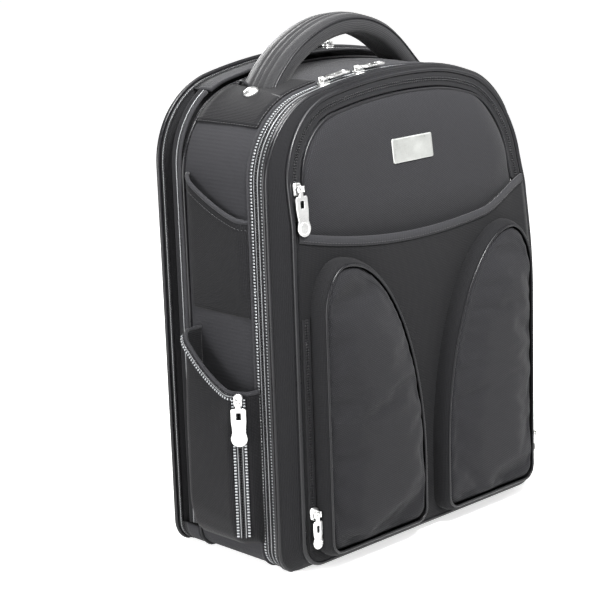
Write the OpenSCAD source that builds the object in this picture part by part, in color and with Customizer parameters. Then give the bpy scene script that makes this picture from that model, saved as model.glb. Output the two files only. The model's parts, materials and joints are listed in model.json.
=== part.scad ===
// Soft two-compartment flight backpack with a clamshell front section, a side-access
// laptop compartment and zipped pockets. Front faces -Y, +Z is up, origin on the floor.

/* [Body] */
// Width across the main zip rim
body_w = 326; // [310:1:340]
// Height of the main zip rim above the floor
body_h = 415; // [400:1:430]
// Radius of the shoulder corners of the rim
corner_r = 72; // [66:1:80]
// Radius of the shallow crown across the top
crown_r = 520; // [480:10:600]
// Radius of the bottom corners
base_r = 20; // [18:1:22]
// Thickness of the padded fabric walls
wall = 3; // [2.5:0.5:3.5]
// Depth of the main compartment behind the zip
main_depth = 88; // [80:1:96]
// Clear depth of the laptop compartment
laptop_depth = 22; // [20:1:26]
// How far the rear outline stands outside the zip rim
rear_grow = 3; // [2:0.5:4]
// How much taller the rear outline is than the zip rim
rear_rise = 8; // [6:1:10]

/* [Front section] */
// Depth from the zip plane to the front seam plane
front_depth = 30; // [28:1:32]
// How far the front outline is drawn in from the zip rim
front_inset = 11; // [9:1:12]
// Radius of the top corners of the front outline
front_corner_r = 72; // [66:1:78]
// How far the front leans back above the fold line, in degrees
front_lean = 7; // [5:1:7]
// Height of the fold line of the upper panel
fold_z = 302; // [300:1:306]
// Lowest point of the open pocket hem
hem_low = 278; // [270:1:284]
// Ends of the open pocket hem
hem_high = 297; // [292:1:299]
// How far the arched pockets stand out of the front
arch_proud = 17; // [14:1:20]
// Height of the arched pockets' tops
arch_top = 270; // [262:1:274]

/* [Side pockets] */
// How far a bellows pocket stands out of the side
bellows_proud = 24; // [20:1:28]
// Height of the low front end of its mouth
bellows_low = 160; // [150:1:170]
// Height of the high rear end of its mouth
bellows_high = 205; // [190:1:215]

/* [Handle] */
// Height of the top of the handle
handle_top = 464; // [458:1:475]
// Half of the handle's span at the shoulders
handle_half = 106; // [102:1:110]
// Width of the padded grip, front to back
handle_w = 36; // [30:1:40]
// Thickness of the padded grip
handle_t = 18; // [15:1:20]

/* [Zip hardware] */
// Width of the wide pulls
pull_w = 12; // [10:0.5:12.5]
// Radius of the round end of the wide pulls
pull_disc_r = 6.5; // [5.5:0.5:7]
// Length of a wide pull from its hinge to the middle of its round end
pull_l = 32; // [28:1:34]
// The same length on the narrow pulls
narrow_l = 25; // [22:1:27]

/* [Hidden] */

half_w = body_w / 2;
gap = 0.3;              // half of the slit between the two halves of a zip
seat = 0.05;            // clearance under a piece that sits on a faceted face
thin = 0.01;            // thickness of the plates that hulls are drawn from
over = 0.02;            // how far a cut runs past the face it opens
far = 250;              // half the size of a block that clears the whole bag
tape = 7.7;             // width of one half of the main zip tape
tape_t = 5;             // thickness of the tape and coil band
tape_sink = 1;          // how far a tape's face lies below the fabric beside it
zip_y = -64;
gusset_y = zip_y + gap + tape;
divider_t = 8;
rear_y = zip_y + main_depth;
slot_y = rear_y + laptop_depth;
laptop_tape = 6;
back_t = 8;
back_y = slot_y + gap + back_t;
board_t = 3;

rim_pipe = 7;
rim_pipe_proud = 2;
rim_pipe_y = zip_y - gap - tape;
front_y = zip_y - front_depth;
front_pipe = 4;
front_pipe_proud = 1.5;
front_pipe_in = 2.5;
front_lift = 8;
front_drop = 3;
inner_wall_y = zip_y - gap - 1;
slip_y = front_y + 5;
slip_t = 2;
slip_in = 9;             // how far the pocket's back wall stays inside the front outline
panel_t = 3;
lower_y = front_y - panel_t;
zip_in = 13;
zip_tape_t = 2;
flap_in = 15;
flap_clear = 1.5;
dome = 6;
dome_in = 24;
flap_t = 4;
flap_y = slip_y - flap_t;

arch_side = 138;
arch_mid = 108;
arch_base = 14;
arch_lean_z = 70;
arch_inner = 11;
arch_round_z = 45;
arch_face_in = 5;
arch_straight = 0.6;    // share of a pocket's depth that is straight wall
arch_zip_x = 143.8;
arch_zip_w = 9;
arch_zip_low = 23;
arch_zip_top = 225;
arch_zip_t = 1;

// Arc of n steps, both ends included
function arc(cx, cz, r, a0, a1, n) =
    [for (i = [0:n]) let (a = a0 + (a1 - a0) * i / n) [cx + r * cos(a), cz + r * sin(a)]];

// Elliptic arc of n steps, without its last point
function ellipse_arc(cx, cz, rx, rz, a0, a1, n) =
    [for (i = [0:n - 1]) let (a = a0 + (a1 - a0) * i / n) [cx + rx * cos(a), cz + rz * sin(a)]];

// Height of the centre of a shoulder arc that touches both the side and the crown
function shoulder_z(hw, h, rc) = h - crown_r + sqrt(pow(crown_r - rc, 2) - pow(hw - rc, 2));

// Angle at which a shoulder arc hands over to the crown
function crown_a(hw, h, rc) = atan2(shoulder_z(hw, h, rc) - h + crown_r, hw - rc);

// Closed bag outline in X and Z; d draws it inwards and keeps it parallel
function outline(hw, h, rc, d) =
    let (ox = hw - rc, oz = shoulder_z(hw, h, rc), th = crown_a(hw, h, rc), bx = hw - base_r)
    concat(
        arc(bx, base_r, base_r - d, -90, 0, 5),
        arc(ox, oz, rc - d, 0, th, 9),
        [for (i = [1:13]) let (a = th + (180 - 2 * th) * i / 14)
            [(crown_r - d) * cos(a), h - crown_r + (crown_r - d) * sin(a)]],
        arc(-ox, oz, rc - d, 180 - th, 180, 9),
        arc(-bx, base_r, base_r - d, 180, 270, 5)
    );

function raised(points, dz) = [for (p = points) [p.x, p.y + dz]];

front_hw = half_w - front_inset;
front_h = body_h - front_drop - front_lift;
rear_hw = half_w + rear_grow;
rear_h = body_h + rear_rise;
front_ox = front_hw - front_corner_r;
front_oz = shoulder_z(front_hw, front_h, front_corner_r) + front_lift;

function rim(d) = outline(half_w, body_h, corner_r, d);
function front(d) = raised(outline(front_hw, front_h, front_corner_r, d), front_lift);
function rear(d) = outline(rear_hw, rear_h, corner_r, d);

// Height of the hem at x: level ends and one shallow dip
function hem_z(x, span) = hem_low + (hem_high - hem_low) * pow(x / span, 2);

// Outline of the left arched pocket, drawn in by d
function arch(d) = concat(
    ellipse_arc(-arch_mid, arch_lean_z, arch_mid - arch_inner - d, arch_top - arch_lean_z - d, 0, 90, 12),
    ellipse_arc(-arch_mid, arch_top - arch_round_z, arch_side - arch_mid - d, arch_round_z - d,
        90, 180, 6),
    [[d - arch_side, arch_top - arch_round_z], [d - arch_side, arch_base + d],
        [-arch_inner - d, arch_base + d]]
);

// Plate whose outline is drawn in X and Z
module slab(points, y0, y1) {
    translate([0, y1, 0]) rotate([90, 0, 0]) linear_extrude(y1 - y0) polygon(points);
}

module ring(outer, inner, y0, y1) {
    translate([0, y1, 0]) rotate([90, 0, 0]) linear_extrude(y1 - y0) difference() {
        polygon(outer);
        polygon(inner);
    }
}

// Plate whose outline is drawn in Y and Z
module side_plate(points, x0, x1) {
    translate([x0, 0, 0]) rotate([90, 0, 90]) linear_extrude(x1 - x0) polygon(points);
}

module above(z) {
    translate([-far, -far, z]) cube(2 * far);
}

module below(z) {
    translate([-far, -far, z - 2 * far]) cube(2 * far);
}

// Leans the front back about the fold line
module leaned() {
    translate([0, front_y, fold_z]) rotate([-front_lean, 0, 0]) translate([0, -front_y, -fold_z])
        children();
}

module right_of_body() {
    mirror([1, 0, 0]) children();
}

// ---- main body ----

module main_gusset() color("#26262a") ring(rim(0), rim(wall), gusset_y, rear_y);

module main_zip_rear() color("#151517")
    ring(rim(tape_sink), rim(tape_sink + tape_t), zip_y + gap, gusset_y);

module divider_panel() color("#3a3a3f") slab(rim(wall), rear_y - divider_t, rear_y);

module base_board() color("#2c2c30") {
    translate([base_r - half_w, gusset_y, wall])
        cube([body_w - 2 * base_r, rear_y - divider_t - gusset_y, board_t]);
}

laptop_open_low = 22;
laptop_open_high = shoulder_z(rear_hw, rear_h, corner_r) + 40;
laptop_open_x = -130;
laptop_sill = 2;

// The rear wall is left open all down the left side
module laptop_side_opening(y0, y1) {
    translate([-far, y0, laptop_open_low])
        cube([far + laptop_open_x, y1 - y0, laptop_open_high - laptop_open_low]);
}

module laptop_gusset() color("#26262a") difference() {
    ring(rear(0), rear(wall), rear_y, slot_y - laptop_tape);
    laptop_side_opening(rear_y + laptop_sill, slot_y);
}

module laptop_zip_front() color("#151517") difference() {
    ring(rear(tape_sink), rear(tape_sink + tape_t - 1), slot_y - laptop_tape, slot_y);
    laptop_side_opening(rear_y, slot_y + 1);
}

// ---- side pockets ----

bellows_front = -58;
bellows_rear = 12;
bellows_base = 26;
bellows_wall = 2.5;
side_x = -half_w;
bellows_x = side_x - bellows_proud;

function bellows_mouth(n) = [for (i = [0:n]) let (t = i / n)
    [bellows_front + (bellows_rear - bellows_front) * t,
     bellows_low + (bellows_high - bellows_low) * t * t]];

bellows_cut = 12;

// Plan of a bellows pocket, drawn in by d; its outer front corner is cut to carry the zip
function bellows_plan(d) = let (c = bellows_cut + d * (sqrt(2) - 1)) [
    [side_x + (d > 0 ? 1 : 0), bellows_front + d], [side_x + (d > 0 ? 1 : 0), bellows_rear - d],
    [bellows_x + d, bellows_rear - d], [bellows_x + d, bellows_front + c],
    [bellows_x + c, bellows_front + d]];

module side_pocket_left() color("#222225") difference() {
    intersection() {
        side_plate(concat([[bellows_rear, bellows_base], [bellows_front, bellows_base]], bellows_mouth(8)),
            bellows_x, side_x);
        linear_extrude(bellows_high) polygon(bellows_plan(0));
    }
    translate([0, 0, bellows_base + bellows_wall]) linear_extrude(bellows_high)
        polygon(bellows_plan(bellows_wall));
}

side_zip_w = 12;
side_zip_t = 1.2;
side_zip_low = 34;

// On the cut corner of the left bellows pocket, with +Z up and -X outwards
module on_bellows_corner() {
    translate([bellows_x + bellows_cut / 2, bellows_front + bellows_cut / 2, 0]) rotate([0, 0, 45])
        children();
}

module side_zip_left() color("#151517") on_bellows_corner()
    translate([-side_zip_t, -side_zip_w / 2, side_zip_low])
        cube([side_zip_t, side_zip_w, bellows_low - side_zip_low]);

slash_front = -54;
slash_rear = 18;
slash_base = 222;
slash_low = 304;
slash_high = 338;
slash_proud = 8;
slash_wall = 2;

module slash_pocket_left() color("#1f1f22") difference() {
    side_plate(concat([[slash_rear, slash_base], [slash_front, slash_base]],
        [for (i = [0:8]) let (t = i / 8)
            [slash_front + (slash_rear - slash_front) * t, slash_low + (slash_high - slash_low) * t * t]]),
        side_x - slash_proud, side_x);
    translate([side_x - slash_proud + slash_wall, slash_front + slash_wall, slash_base + slash_wall])
        cube([slash_proud, slash_rear - slash_front - 2 * slash_wall, slash_high]);
}

// ---- handle ----

handle_y = -12;
handle_clear = 7;
handle_base_z = body_h - 10;
handle_rise = handle_top - handle_base_z;
handle_r = (pow(handle_half, 2) + pow(handle_rise, 2)) / (2 * handle_rise);
patch_t = 1.2;
patch_w = 66;
stub_w = 8;
stub_h = 4;
rivet_x = 118;
rivet_y = -16;
rivet_r = 5.5;
rivet_rim = 1.5;
rivet_h = 4.5;
patch_in = 26;          // how far a patch reaches inwards from the handle's foot
patch_l = 54;
stub_in = 16;
stub_l = 14;

module handle_arc(inner_r, outer_r, y0, y1) {
    translate([0, y1, handle_top - handle_r]) rotate([90, 0, 0]) linear_extrude(y1 - y0) difference() {
        circle(outer_r, $fn = 90);
        circle(inner_r, $fn = 90);
    }
}

module handle_grip() color("#1c1c1f") difference() {
    intersection() {
        handle_arc(handle_r - handle_t, handle_r, handle_y - handle_w / 2, handle_y + handle_w / 2);
        above(handle_base_z - 20);
    }
    slab(rim(-handle_clear), handle_y - handle_w, handle_y + handle_w);
}

module handle_patch_right() color("#222225") {
    intersection() {
        ring(rim(-patch_t), rim(0), handle_y - patch_w / 2, handle_y + patch_w / 2);
        translate([handle_half - patch_in, -far, far]) cube([patch_l, 2 * far, far]);
    }
    intersection() {
        ring(rim(-stub_h), rim(-patch_t), handle_y - stub_w / 2, handle_y + stub_w / 2);
        translate([handle_half - stub_in, -far, far]) cube([stub_l, 2 * far, far]);
    }
}

shoulder_cx = half_w - corner_r;
shoulder_cz = shoulder_z(half_w, body_h, corner_r);
rivet_a = acos((rivet_x - shoulder_cx) / corner_r);

module rivet() {
    translate([shoulder_cx, rivet_y, shoulder_cz]) rotate([0, 90 - rivet_a, 0])
        translate([0, 0, corner_r + patch_t + seat]) {
            cylinder(r = rivet_r, h = rivet_rim, $fn = 40);
            translate([0, 0, rivet_rim])
                cylinder(r1 = rivet_r, r2 = rivet_r / 2, h = rivet_h - rivet_rim, $fn = 40);
        }
}

module handle_rivets() color("#c9c9cc") {
    rivet();
    right_of_body() rivet();
}

// ---- front section ----

module main_zip_front() color("#151517")
    ring(rim(tape_sink), rim(tape_sink + tape_t), rim_pipe_y, zip_y - gap);

module rim_piping() color("#101012") intersection() {
    ring(rim(-rim_pipe_proud), rim(wall), rim_pipe_y - rim_pipe, rim_pipe_y);
    above(0);
}

module front_shell(d) {
    hull() {
        slab(rim(d), rim_pipe_y - rim_pipe - thin, rim_pipe_y - rim_pipe);
        intersection() {
            slab(front(d), front_y, front_y + thin);
            below(fold_z);
        }
        leaned() intersection() {
            slab(front(d), front_y, front_y + thin);
            above(fold_z);
        }
    }
}

module front_gusset() color("#26262a") difference() {
    front_shell(0);
    translate([0, over, 0]) front_shell(wall);
    translate([0, -over, 0]) front_shell(wall);
}

module front_inner_wall() color("#3a3a3f")
    slab(rim(tape_sink + tape_t), inner_wall_y - panel_t, inner_wall_y);

module slip_back_wall() color("#2f2f33") intersection() {
    slab(front(slip_in), slip_y, slip_y + slip_t);
    below(fold_z);
}

hem_span = front_hw - front_pipe_in;
hem_steps = 10;

// Points of the hem, dz below its edge
function hem_line(span, dz) = [for (i = [-hem_steps:hem_steps]) let (x = i / hem_steps * span)
    [x, hem_z(x, hem_span) - dz]];

function reversed(points) = [for (i = [len(points) - 1:-1:0]) points[i]];

module lower_panel() color("#232326") intersection() {
    slab(front(front_pipe_in), lower_y, front_y);
    slab(concat([[far, -far], [-far, -far]], hem_line(hem_span, 0)), lower_y - over, front_y + over);
}

module front_edge() {
    ring(front(-front_pipe_proud), front(front_pipe_in), front_y - front_pipe, front_y);
}

module front_piping() color("#101012") {
    intersection() {
        front_edge();
        below(fold_z - gap);
    }
    leaned() intersection() {
        front_edge();
        above(fold_z + gap);
    }
}

hem_h = 8;
hem_t = 1.2;
hem_end = 1;

module pocket_hem() color("#151517") {
    slab(concat(hem_line(hem_span - hem_end, 0), reversed(hem_line(hem_span - hem_end, hem_h))),
        lower_y - hem_t, lower_y);
}

module organizer_zip() color("#151517") leaned() intersection() {
    ring(front(wall + gap), front(zip_in), front_y - zip_tape_t / 2, front_y + zip_tape_t / 2);
    above(fold_z + flap_clear);
}

module arch_pocket_left() color("#202023") hull() {
    slab(arch(0), lower_y - arch_proud * arch_straight, lower_y);
    slab(arch(arch_face_in), lower_y - arch_proud, lower_y);
}

module arch_zip_left() color("#151517") {
    translate([-arch_zip_x - arch_zip_w / 2, lower_y - arch_zip_t, arch_zip_low])
        cube([arch_zip_w, arch_zip_t, arch_zip_top - arch_zip_low]);
}

// ---- upper panel ----

module upper_panel() color("#232326") leaned() hull() {
    intersection() {
        slab(front(flap_in), flap_y, slip_y);
        above(fold_z + flap_clear);
    }
    intersection() {
        slab(front(flap_in + dome_in), flap_y - dome, flap_y);
        above(fold_z + dome_in / 2);
    }
}

plate_w = 50;
plate_h = 21;
plate_t = 1.2;
plate_x = -8;
plate_z = 348;

module blank_plate() color("#d2d2d4")
    leaned() translate([plate_x - plate_w / 2, flap_y - dome - plate_t, plate_z - plate_h / 2])
        cube([plate_w, plate_t, plate_h]);

// ---- back ----

module back_panel() color("#26262a") slab(rear(tape_t), slot_y + gap, back_y);

module laptop_zip_rear() color("#151517")
    ring(rear(tape_sink), rear(tape_t), slot_y + gap, slot_y + gap + laptop_tape);

pad_t = 11;
pad_w = 86;
pad_x = 62;
pad_low = 60;
pad_high = 330;
pad_r = 18;

function rounded(x0, z0, x1, z1, r) = concat(
    arc(x1 - r, z0 + r, r, -90, 0, 4), arc(x1 - r, z1 - r, r, 0, 90, 4),
    arc(x0 + r, z1 - r, r, 90, 180, 4), arc(x0 + r, z0 + r, r, 180, 270, 4));

module back_pads() color("#1b1b1e") {
    for (s = [-1, 1])
        slab(rounded(s * pad_x - pad_w / 2, pad_low, s * pad_x + pad_w / 2, pad_high, pad_r),
            back_y, back_y + pad_t);
}

yoke_t = 6;
yoke_half = 84;
yoke_low = 352;
yoke_high = 392;
yoke_r = 12;
strap_t = 13;
strap_y = back_y + pad_t + 1;
strap_half = 31;
strap_top = [-48, 350];
strap_mid = [-64, 300];
strap_end = [-86, 196];
strap_end_half = 22;

module strap_yoke() color("#1b1b1e")
    slab(rounded(-yoke_half, yoke_low, yoke_half, yoke_high, yoke_r), back_y, back_y + yoke_t + pad_t);

module shoulder_strap_left() color("#1f1f22")
    slab([[strap_top.x - strap_half, strap_top.y], [strap_mid.x - strap_half, strap_mid.y],
        [strap_end.x - strap_end_half, strap_end.y], [strap_end.x + strap_end_half, strap_end.y],
        [strap_mid.x + strap_half, strap_mid.y], [strap_top.x + strap_half, strap_top.y]],
        strap_y, strap_y + strap_t);

webbing_w = 25;
webbing_t = 2;
webbing_slice = 1;

// From the adjuster over the edge of the back pad and down to the back panel
webbing_route = [
    [-92, strap_y + gap, 162], [-119, strap_y, 96], [-131, back_y + gap, 58], [-132, back_y, 40]
];

// A short crossing of the webbing, from which its straight runs are hulled
module webbing_end(p) {
    translate([p.x - webbing_w / 2, p.y, p.z]) cube([webbing_w, webbing_t, webbing_slice]);
}

module webbing_left() {
    for (i = [0:2])
        hull() {
            webbing_end(webbing_route[i]);
            webbing_end(webbing_route[i + 1]);
        }
}

module strap_webbing() color("#19191b") {
    webbing_left();
    right_of_body() webbing_left();
}

adjuster_w = 36;
adjuster_h = 30;
adjuster_t = 6;
adjuster_drop = 2;
adjuster_z = strap_end.y - adjuster_drop;
adjuster_bar = 5;
adjuster_slot = 6;
adjuster_slots = [-11, -24];

module adjuster_left() color("#121214") {
    translate([strap_end.x, strap_y, adjuster_z]) difference() {
        translate([-adjuster_w / 2, 0, -adjuster_h]) cube([adjuster_w, adjuster_t, adjuster_h]);
        for (z = adjuster_slots)
            translate([-adjuster_w / 2 + adjuster_bar, -adjuster_t, z])
                cube([adjuster_w - 2 * adjuster_bar, 3 * adjuster_t, adjuster_slot]);
    }
}

// ---- zip hardware ----

slider_l = 11;
slider_w = 8;
slider_lift = 0.35;
slider_top = 3.6;
ear_gap = 4;
ear_t = 1.4;
ear_l = 5;
ear_over = 2;
pin_z = 6;
pin_r = 0.8;
eye_r = 2;
eye_bore = 1.05;
neck_w = 3.4;
neck_l = 8;
blade_x = 6;
pull_t = 1.8;
narrow_w = 9;
narrow_disc_r = 5;
window_x = 9;
window_w = 5;
window_l = 7;

// Slider on a zip: the zip runs along X, the outward side is +Z
module slider() color("#c4c4c8") {
    translate([-slider_l / 2, -slider_w / 2, slider_lift])
        cube([slider_l, slider_w, slider_top - slider_lift]);
    for (s = [-1, 1])
        translate([-ear_l / 2, s * (ear_gap + ear_t) / 2 - ear_t / 2, slider_top])
            cube([ear_l, ear_t, pin_z + ear_over - slider_top]);
    translate([0, ear_gap / 2 + ear_t, pin_z]) rotate([90, 0, 0])
        cylinder(r = pin_r, h = ear_gap + 2 * ear_t, $fn = 24);
}

// Pull that hangs from the slider's pin towards +X
module pull(w, disc_r, l) color("#d0d0d3") {
    translate([0, 0, pin_z]) difference() {
        union() {
            translate([0, neck_w / 2, 0]) rotate([90, 0, 0]) cylinder(r = eye_r, h = neck_w, $fn = 32);
            translate([0, -neck_w / 2, -pull_t / 2]) cube([neck_l, neck_w, pull_t]);
            translate([blade_x, -w / 2, -pull_t / 2]) cube([l - blade_x, w, pull_t]);
            translate([l, 0, -pull_t / 2]) cylinder(r = disc_r, h = pull_t, $fn = 40);
        }
        translate([0, neck_w, 0]) rotate([90, 0, 0]) cylinder(r = eye_bore, h = 2 * neck_w, $fn = 32);
        translate([window_x, -window_w / 2, -pull_t]) cube([window_l, window_w, 2 * pull_t]);
    }
}

// Places on the zips: s is the side, from -1 on the left to 1 on the right
module on_crown(angle, h, y, towards) {
    translate([0, y, h - crown_r]) rotate([0, angle, 0]) translate([0, 0, crown_r - tape_sink])
        rotate([0, 0, towards > 0 ? 0 : 180]) children();
}

module on_front(x, y, z) {
    translate([x, y, z]) rotate([90, 0, 0]) rotate([0, 0, -90]) children();
}

module on_side_zip(z) {
    on_bellows_corner() translate([-side_zip_t, 0, z]) rotate([0, -90, 0]) rotate([0, 0, 180]) children();
}

main_left_a = -8.9;
main_right_a = -4.2;
laptop_a = 4;
organizer_x = -(front_hw - (front_pipe_in + zip_in) / 2);
arch_slider_z = 56;
side_slider_z = 156;

module at_main_left() { on_crown(main_left_a, body_h, zip_y, 1) children(); }
module at_main_right() { on_crown(main_right_a, body_h, zip_y, 1) children(); }
module at_laptop() { on_crown(laptop_a, rear_h, slot_y, -1) children(); }
module at_organizer() { leaned() on_front(organizer_x, front_y - 1, front_oz) children(); }
module at_arch_left() { on_front(-arch_zip_x, lower_y - 1, arch_slider_z) children(); }
module at_side_left() { on_side_zip(side_slider_z) children(); }

module main_slider_left() { at_main_left() slider(); }
module main_slider_right() { at_main_right() slider(); }
module organizer_slider() { at_organizer() slider(); }
module side_slider_left() { at_side_left() slider(); }
module arch_slider_left() { at_arch_left() slider(); }
module laptop_slider() { at_laptop() slider(); }
module main_pull_left() { at_main_left() pull(narrow_w, narrow_disc_r, narrow_l); }
module main_pull_right() { at_main_right() pull(narrow_w, narrow_disc_r, narrow_l); }
module organizer_pull() { at_organizer() pull(pull_w, pull_disc_r, pull_l); }
module side_pull_left() { at_side_left() pull(pull_w, pull_disc_r, pull_l); }
module arch_pull_left() { at_arch_left() pull(narrow_w, narrow_disc_r, narrow_l); }
module laptop_pull() { at_laptop() pull(narrow_w, narrow_disc_r, narrow_l); }

main_gusset();
main_zip_rear();
divider_panel();
base_board();
laptop_gusset();
laptop_zip_front();
side_pocket_left();
right_of_body() side_pocket_left();  // side_pocket_right
side_zip_left();
right_of_body() side_zip_left();  // side_zip_right
slash_pocket_left();
right_of_body() slash_pocket_left();  // slash_pocket_right
right_of_body() handle_patch_right();  // handle_patch_left
handle_patch_right();
handle_rivets();
handle_grip();
main_zip_front();
rim_piping();
front_gusset();
front_inner_wall();
slip_back_wall();
lower_panel();
front_piping();
pocket_hem();
organizer_zip();
arch_pocket_left();
right_of_body() arch_pocket_left();  // arch_pocket_right
arch_zip_left();
right_of_body() arch_zip_left();  // arch_zip_right
upper_panel();
blank_plate();
back_panel();
laptop_zip_rear();
back_pads();
strap_yoke();
shoulder_strap_left();
right_of_body() shoulder_strap_left();  // shoulder_strap_right
strap_webbing();
adjuster_left();
right_of_body() adjuster_left();  // adjuster_right
main_slider_left();
main_slider_right();
organizer_slider();
side_slider_left();
right_of_body() side_slider_left();  // side_slider_right
arch_slider_left();
right_of_body() arch_slider_left();  // arch_slider_right
laptop_slider();
main_pull_left();
main_pull_right();
organizer_pull();
side_pull_left();
right_of_body() side_pull_left();  // side_pull_right
arch_pull_left();
right_of_body() arch_pull_left();  // arch_pull_right
laptop_pull();
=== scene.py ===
import math
import bpy
import bmesh
import json
import numpy as np
from mathutils import Matrix, Vector, noise


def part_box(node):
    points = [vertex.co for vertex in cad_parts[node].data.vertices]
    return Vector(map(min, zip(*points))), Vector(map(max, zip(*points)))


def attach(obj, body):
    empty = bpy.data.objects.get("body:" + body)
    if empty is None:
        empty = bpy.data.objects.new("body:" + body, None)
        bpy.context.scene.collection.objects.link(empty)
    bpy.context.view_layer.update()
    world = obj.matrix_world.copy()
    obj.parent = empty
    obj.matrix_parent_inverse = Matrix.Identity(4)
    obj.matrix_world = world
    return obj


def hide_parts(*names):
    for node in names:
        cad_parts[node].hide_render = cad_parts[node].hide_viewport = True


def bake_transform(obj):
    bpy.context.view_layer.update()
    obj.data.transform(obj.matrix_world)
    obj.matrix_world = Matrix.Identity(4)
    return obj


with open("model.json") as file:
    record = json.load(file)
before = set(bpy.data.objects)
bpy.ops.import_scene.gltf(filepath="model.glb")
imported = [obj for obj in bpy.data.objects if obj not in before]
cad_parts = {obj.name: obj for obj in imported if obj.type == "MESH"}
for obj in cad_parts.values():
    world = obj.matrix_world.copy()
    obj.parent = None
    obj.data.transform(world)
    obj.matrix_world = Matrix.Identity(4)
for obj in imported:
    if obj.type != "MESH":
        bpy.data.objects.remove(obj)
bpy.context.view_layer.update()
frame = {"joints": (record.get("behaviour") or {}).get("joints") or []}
MM = 0.001

# ---------------------------------------------------------------- sizes from the frame

CROWN_R = 520 * MM
BASE_R = 20 * MM
RIM_CORNER = 72 * MM
FRONT_CORNER = 72 * MM
FRONT_LIFT = 8 * MM
FRONT_DROP = 3 * MM
FRONT_LEAN = math.radians(7)

gusset_lo, gusset_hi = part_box("main_gusset")
RIM_HW, RIM_H = gusset_hi.x, gusset_hi.z
GUSSET_Y, REAR_Y = gusset_lo.y, gusset_hi.y
ZIP_Y = (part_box("main_zip_front")[1].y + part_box("main_zip_rear")[0].y) / 2
PIPE_LO, PIPE_HI = (corner.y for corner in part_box("rim_piping"))
PANEL_LO, PANEL_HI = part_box("lower_panel")
FRONT_Y, LOWER_Y = PANEL_HI.y, PANEL_LO.y
FRONT_HW = PANEL_HI.x + 2.5 * MM
FRONT_H = RIM_H - FRONT_DROP - FRONT_LIFT
FLAP_IN = 15 * MM
FLAP_HW = FRONT_HW - FLAP_IN
FLAP_Y = FRONT_Y + 1 * MM
FOLD_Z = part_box("slip_back_wall")[1].z
REAR_LO, REAR_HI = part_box("laptop_gusset")
REAR_HW, REAR_H = REAR_HI.x, REAR_HI.z
SLOT_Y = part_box("laptop_zip_front")[1].y
DOOR_LO, DOOR_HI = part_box("back_panel")
ARCH_LO, ARCH_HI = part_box("arch_pocket_left")
POCKET_LO, POCKET_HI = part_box("side_pocket_left")
HANDLE_LO, HANDLE_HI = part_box("handle_grip")
STRAP_LO, STRAP_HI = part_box("shoulder_strap_right")
PAD_LO, PAD_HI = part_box("back_pads")
YOKE_LO, YOKE_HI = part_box("strap_yoke")

STEPS = 420
SIDES = ((-1, "left"), (1, "right"))


# ---------------------------------------------------------------- curves

def smooth(t):
    t = np.clip(t, 0, 1)
    return t * t * (3 - 2 * t)


def unit(v):
    size = np.linalg.norm(v, axis=-1, keepdims=True)
    return v / np.where(size < 1e-12, 1, size)


def arc2(cx, cz, r, a0, a1, n):
    a = np.radians(np.linspace(a0, a1, n))
    return np.stack([cx + r * np.cos(a), cz + r * np.sin(a)], 1)


def lengths(points):
    return np.concatenate([[0], np.cumsum(np.linalg.norm(np.diff(points, axis=0), axis=1))])


def round_corners(cx, cz, w, h, r, steps):
    """The four corner arcs of a rounded rectangle as one loop of X, Z points."""
    return np.concatenate([arc2(cx + sx * (w / 2 - r), cz + sz * (h / 2 - r), r, a, a + 90, steps)
                           for sx, sz, a in ((1, -1, -90), (1, 1, 0), (-1, 1, 90), (-1, -1, 180))])


def rounded_rect(cx, cz, w, h, r, n=160):
    """A rounded rectangle of n evenly spaced points."""
    return resample(round_corners(cx, cz, w, h, r, 12), n, closed=True)


def xyz(x, y, z):
    """Points from X, Y and Z, each an array or one number for all of them."""
    return np.stack(np.broadcast_arrays(*(np.asarray(a, float) for a in (x, y, z))), -1)


def upright(loop, y):
    """X, Z points stood up in the plane y."""
    return xyz(loop[:, 0], y, loop[:, 1])


def around(n):
    """n angles evenly spaced round a circle."""
    return np.linspace(0, 2 * math.pi, n, endpoint=False)


def resample(points, n, closed=False):
    """n points evenly spaced along a polyline; a closed one doesn't repeat its first point."""
    if closed:
        points = np.concatenate([points, points[:1]])
    s = lengths(points)
    t = np.linspace(0, s[-1], n + 1)[:-1] if closed else np.linspace(0, s[-1], n)
    return np.stack([np.interp(t, s, points[:, k]) for k in range(points.shape[1])], 1)


def outline(hw, h, rc, lift=0.0, n=STEPS):
    """Closed bag outline in X and Z from the middle of the base, and its outward normals."""
    crown_z = h - CROWN_R
    shoulder_x = hw - rc
    shoulder_z = crown_z + math.sqrt((CROWN_R - rc) ** 2 - shoulder_x ** 2)
    handover = math.degrees(math.atan2(shoulder_z - crown_z, shoulder_x))
    right = np.concatenate([
        np.linspace([0, 0], [hw - BASE_R, 0], 60),
        arc2(hw - BASE_R, BASE_R, BASE_R, -90, 0, 30),
        np.linspace([hw, BASE_R], [hw, shoulder_z], 160),
        arc2(shoulder_x, shoulder_z, rc, 0, handover, 80),
        arc2(0, crown_z, CROWN_R, handover, 90, 60)])
    left = right[::-1] * np.array([-1, 1])
    points = resample(np.concatenate([right, left[1:-1]]), n, closed=True)
    ahead, behind = np.roll(points, -1, 0), np.roll(points, 1, 0)
    tangent = unit(ahead - behind)
    normal = np.stack([tangent[:, 1], -tangent[:, 0]], 1)
    return points + np.array([0, lift]), normal


RIM = outline(RIM_HW, RIM_H, RIM_CORNER)
FRONT = outline(FRONT_HW, FRONT_H, FRONT_CORNER, FRONT_LIFT)
REAR = outline(REAR_HW, REAR_H, RIM_CORNER)


def at(ring, out, y):
    """The ring's points moved outwards by out, in the plane y."""
    points = ring[0] + ring[1] * out
    return upright(points, y)


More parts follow.
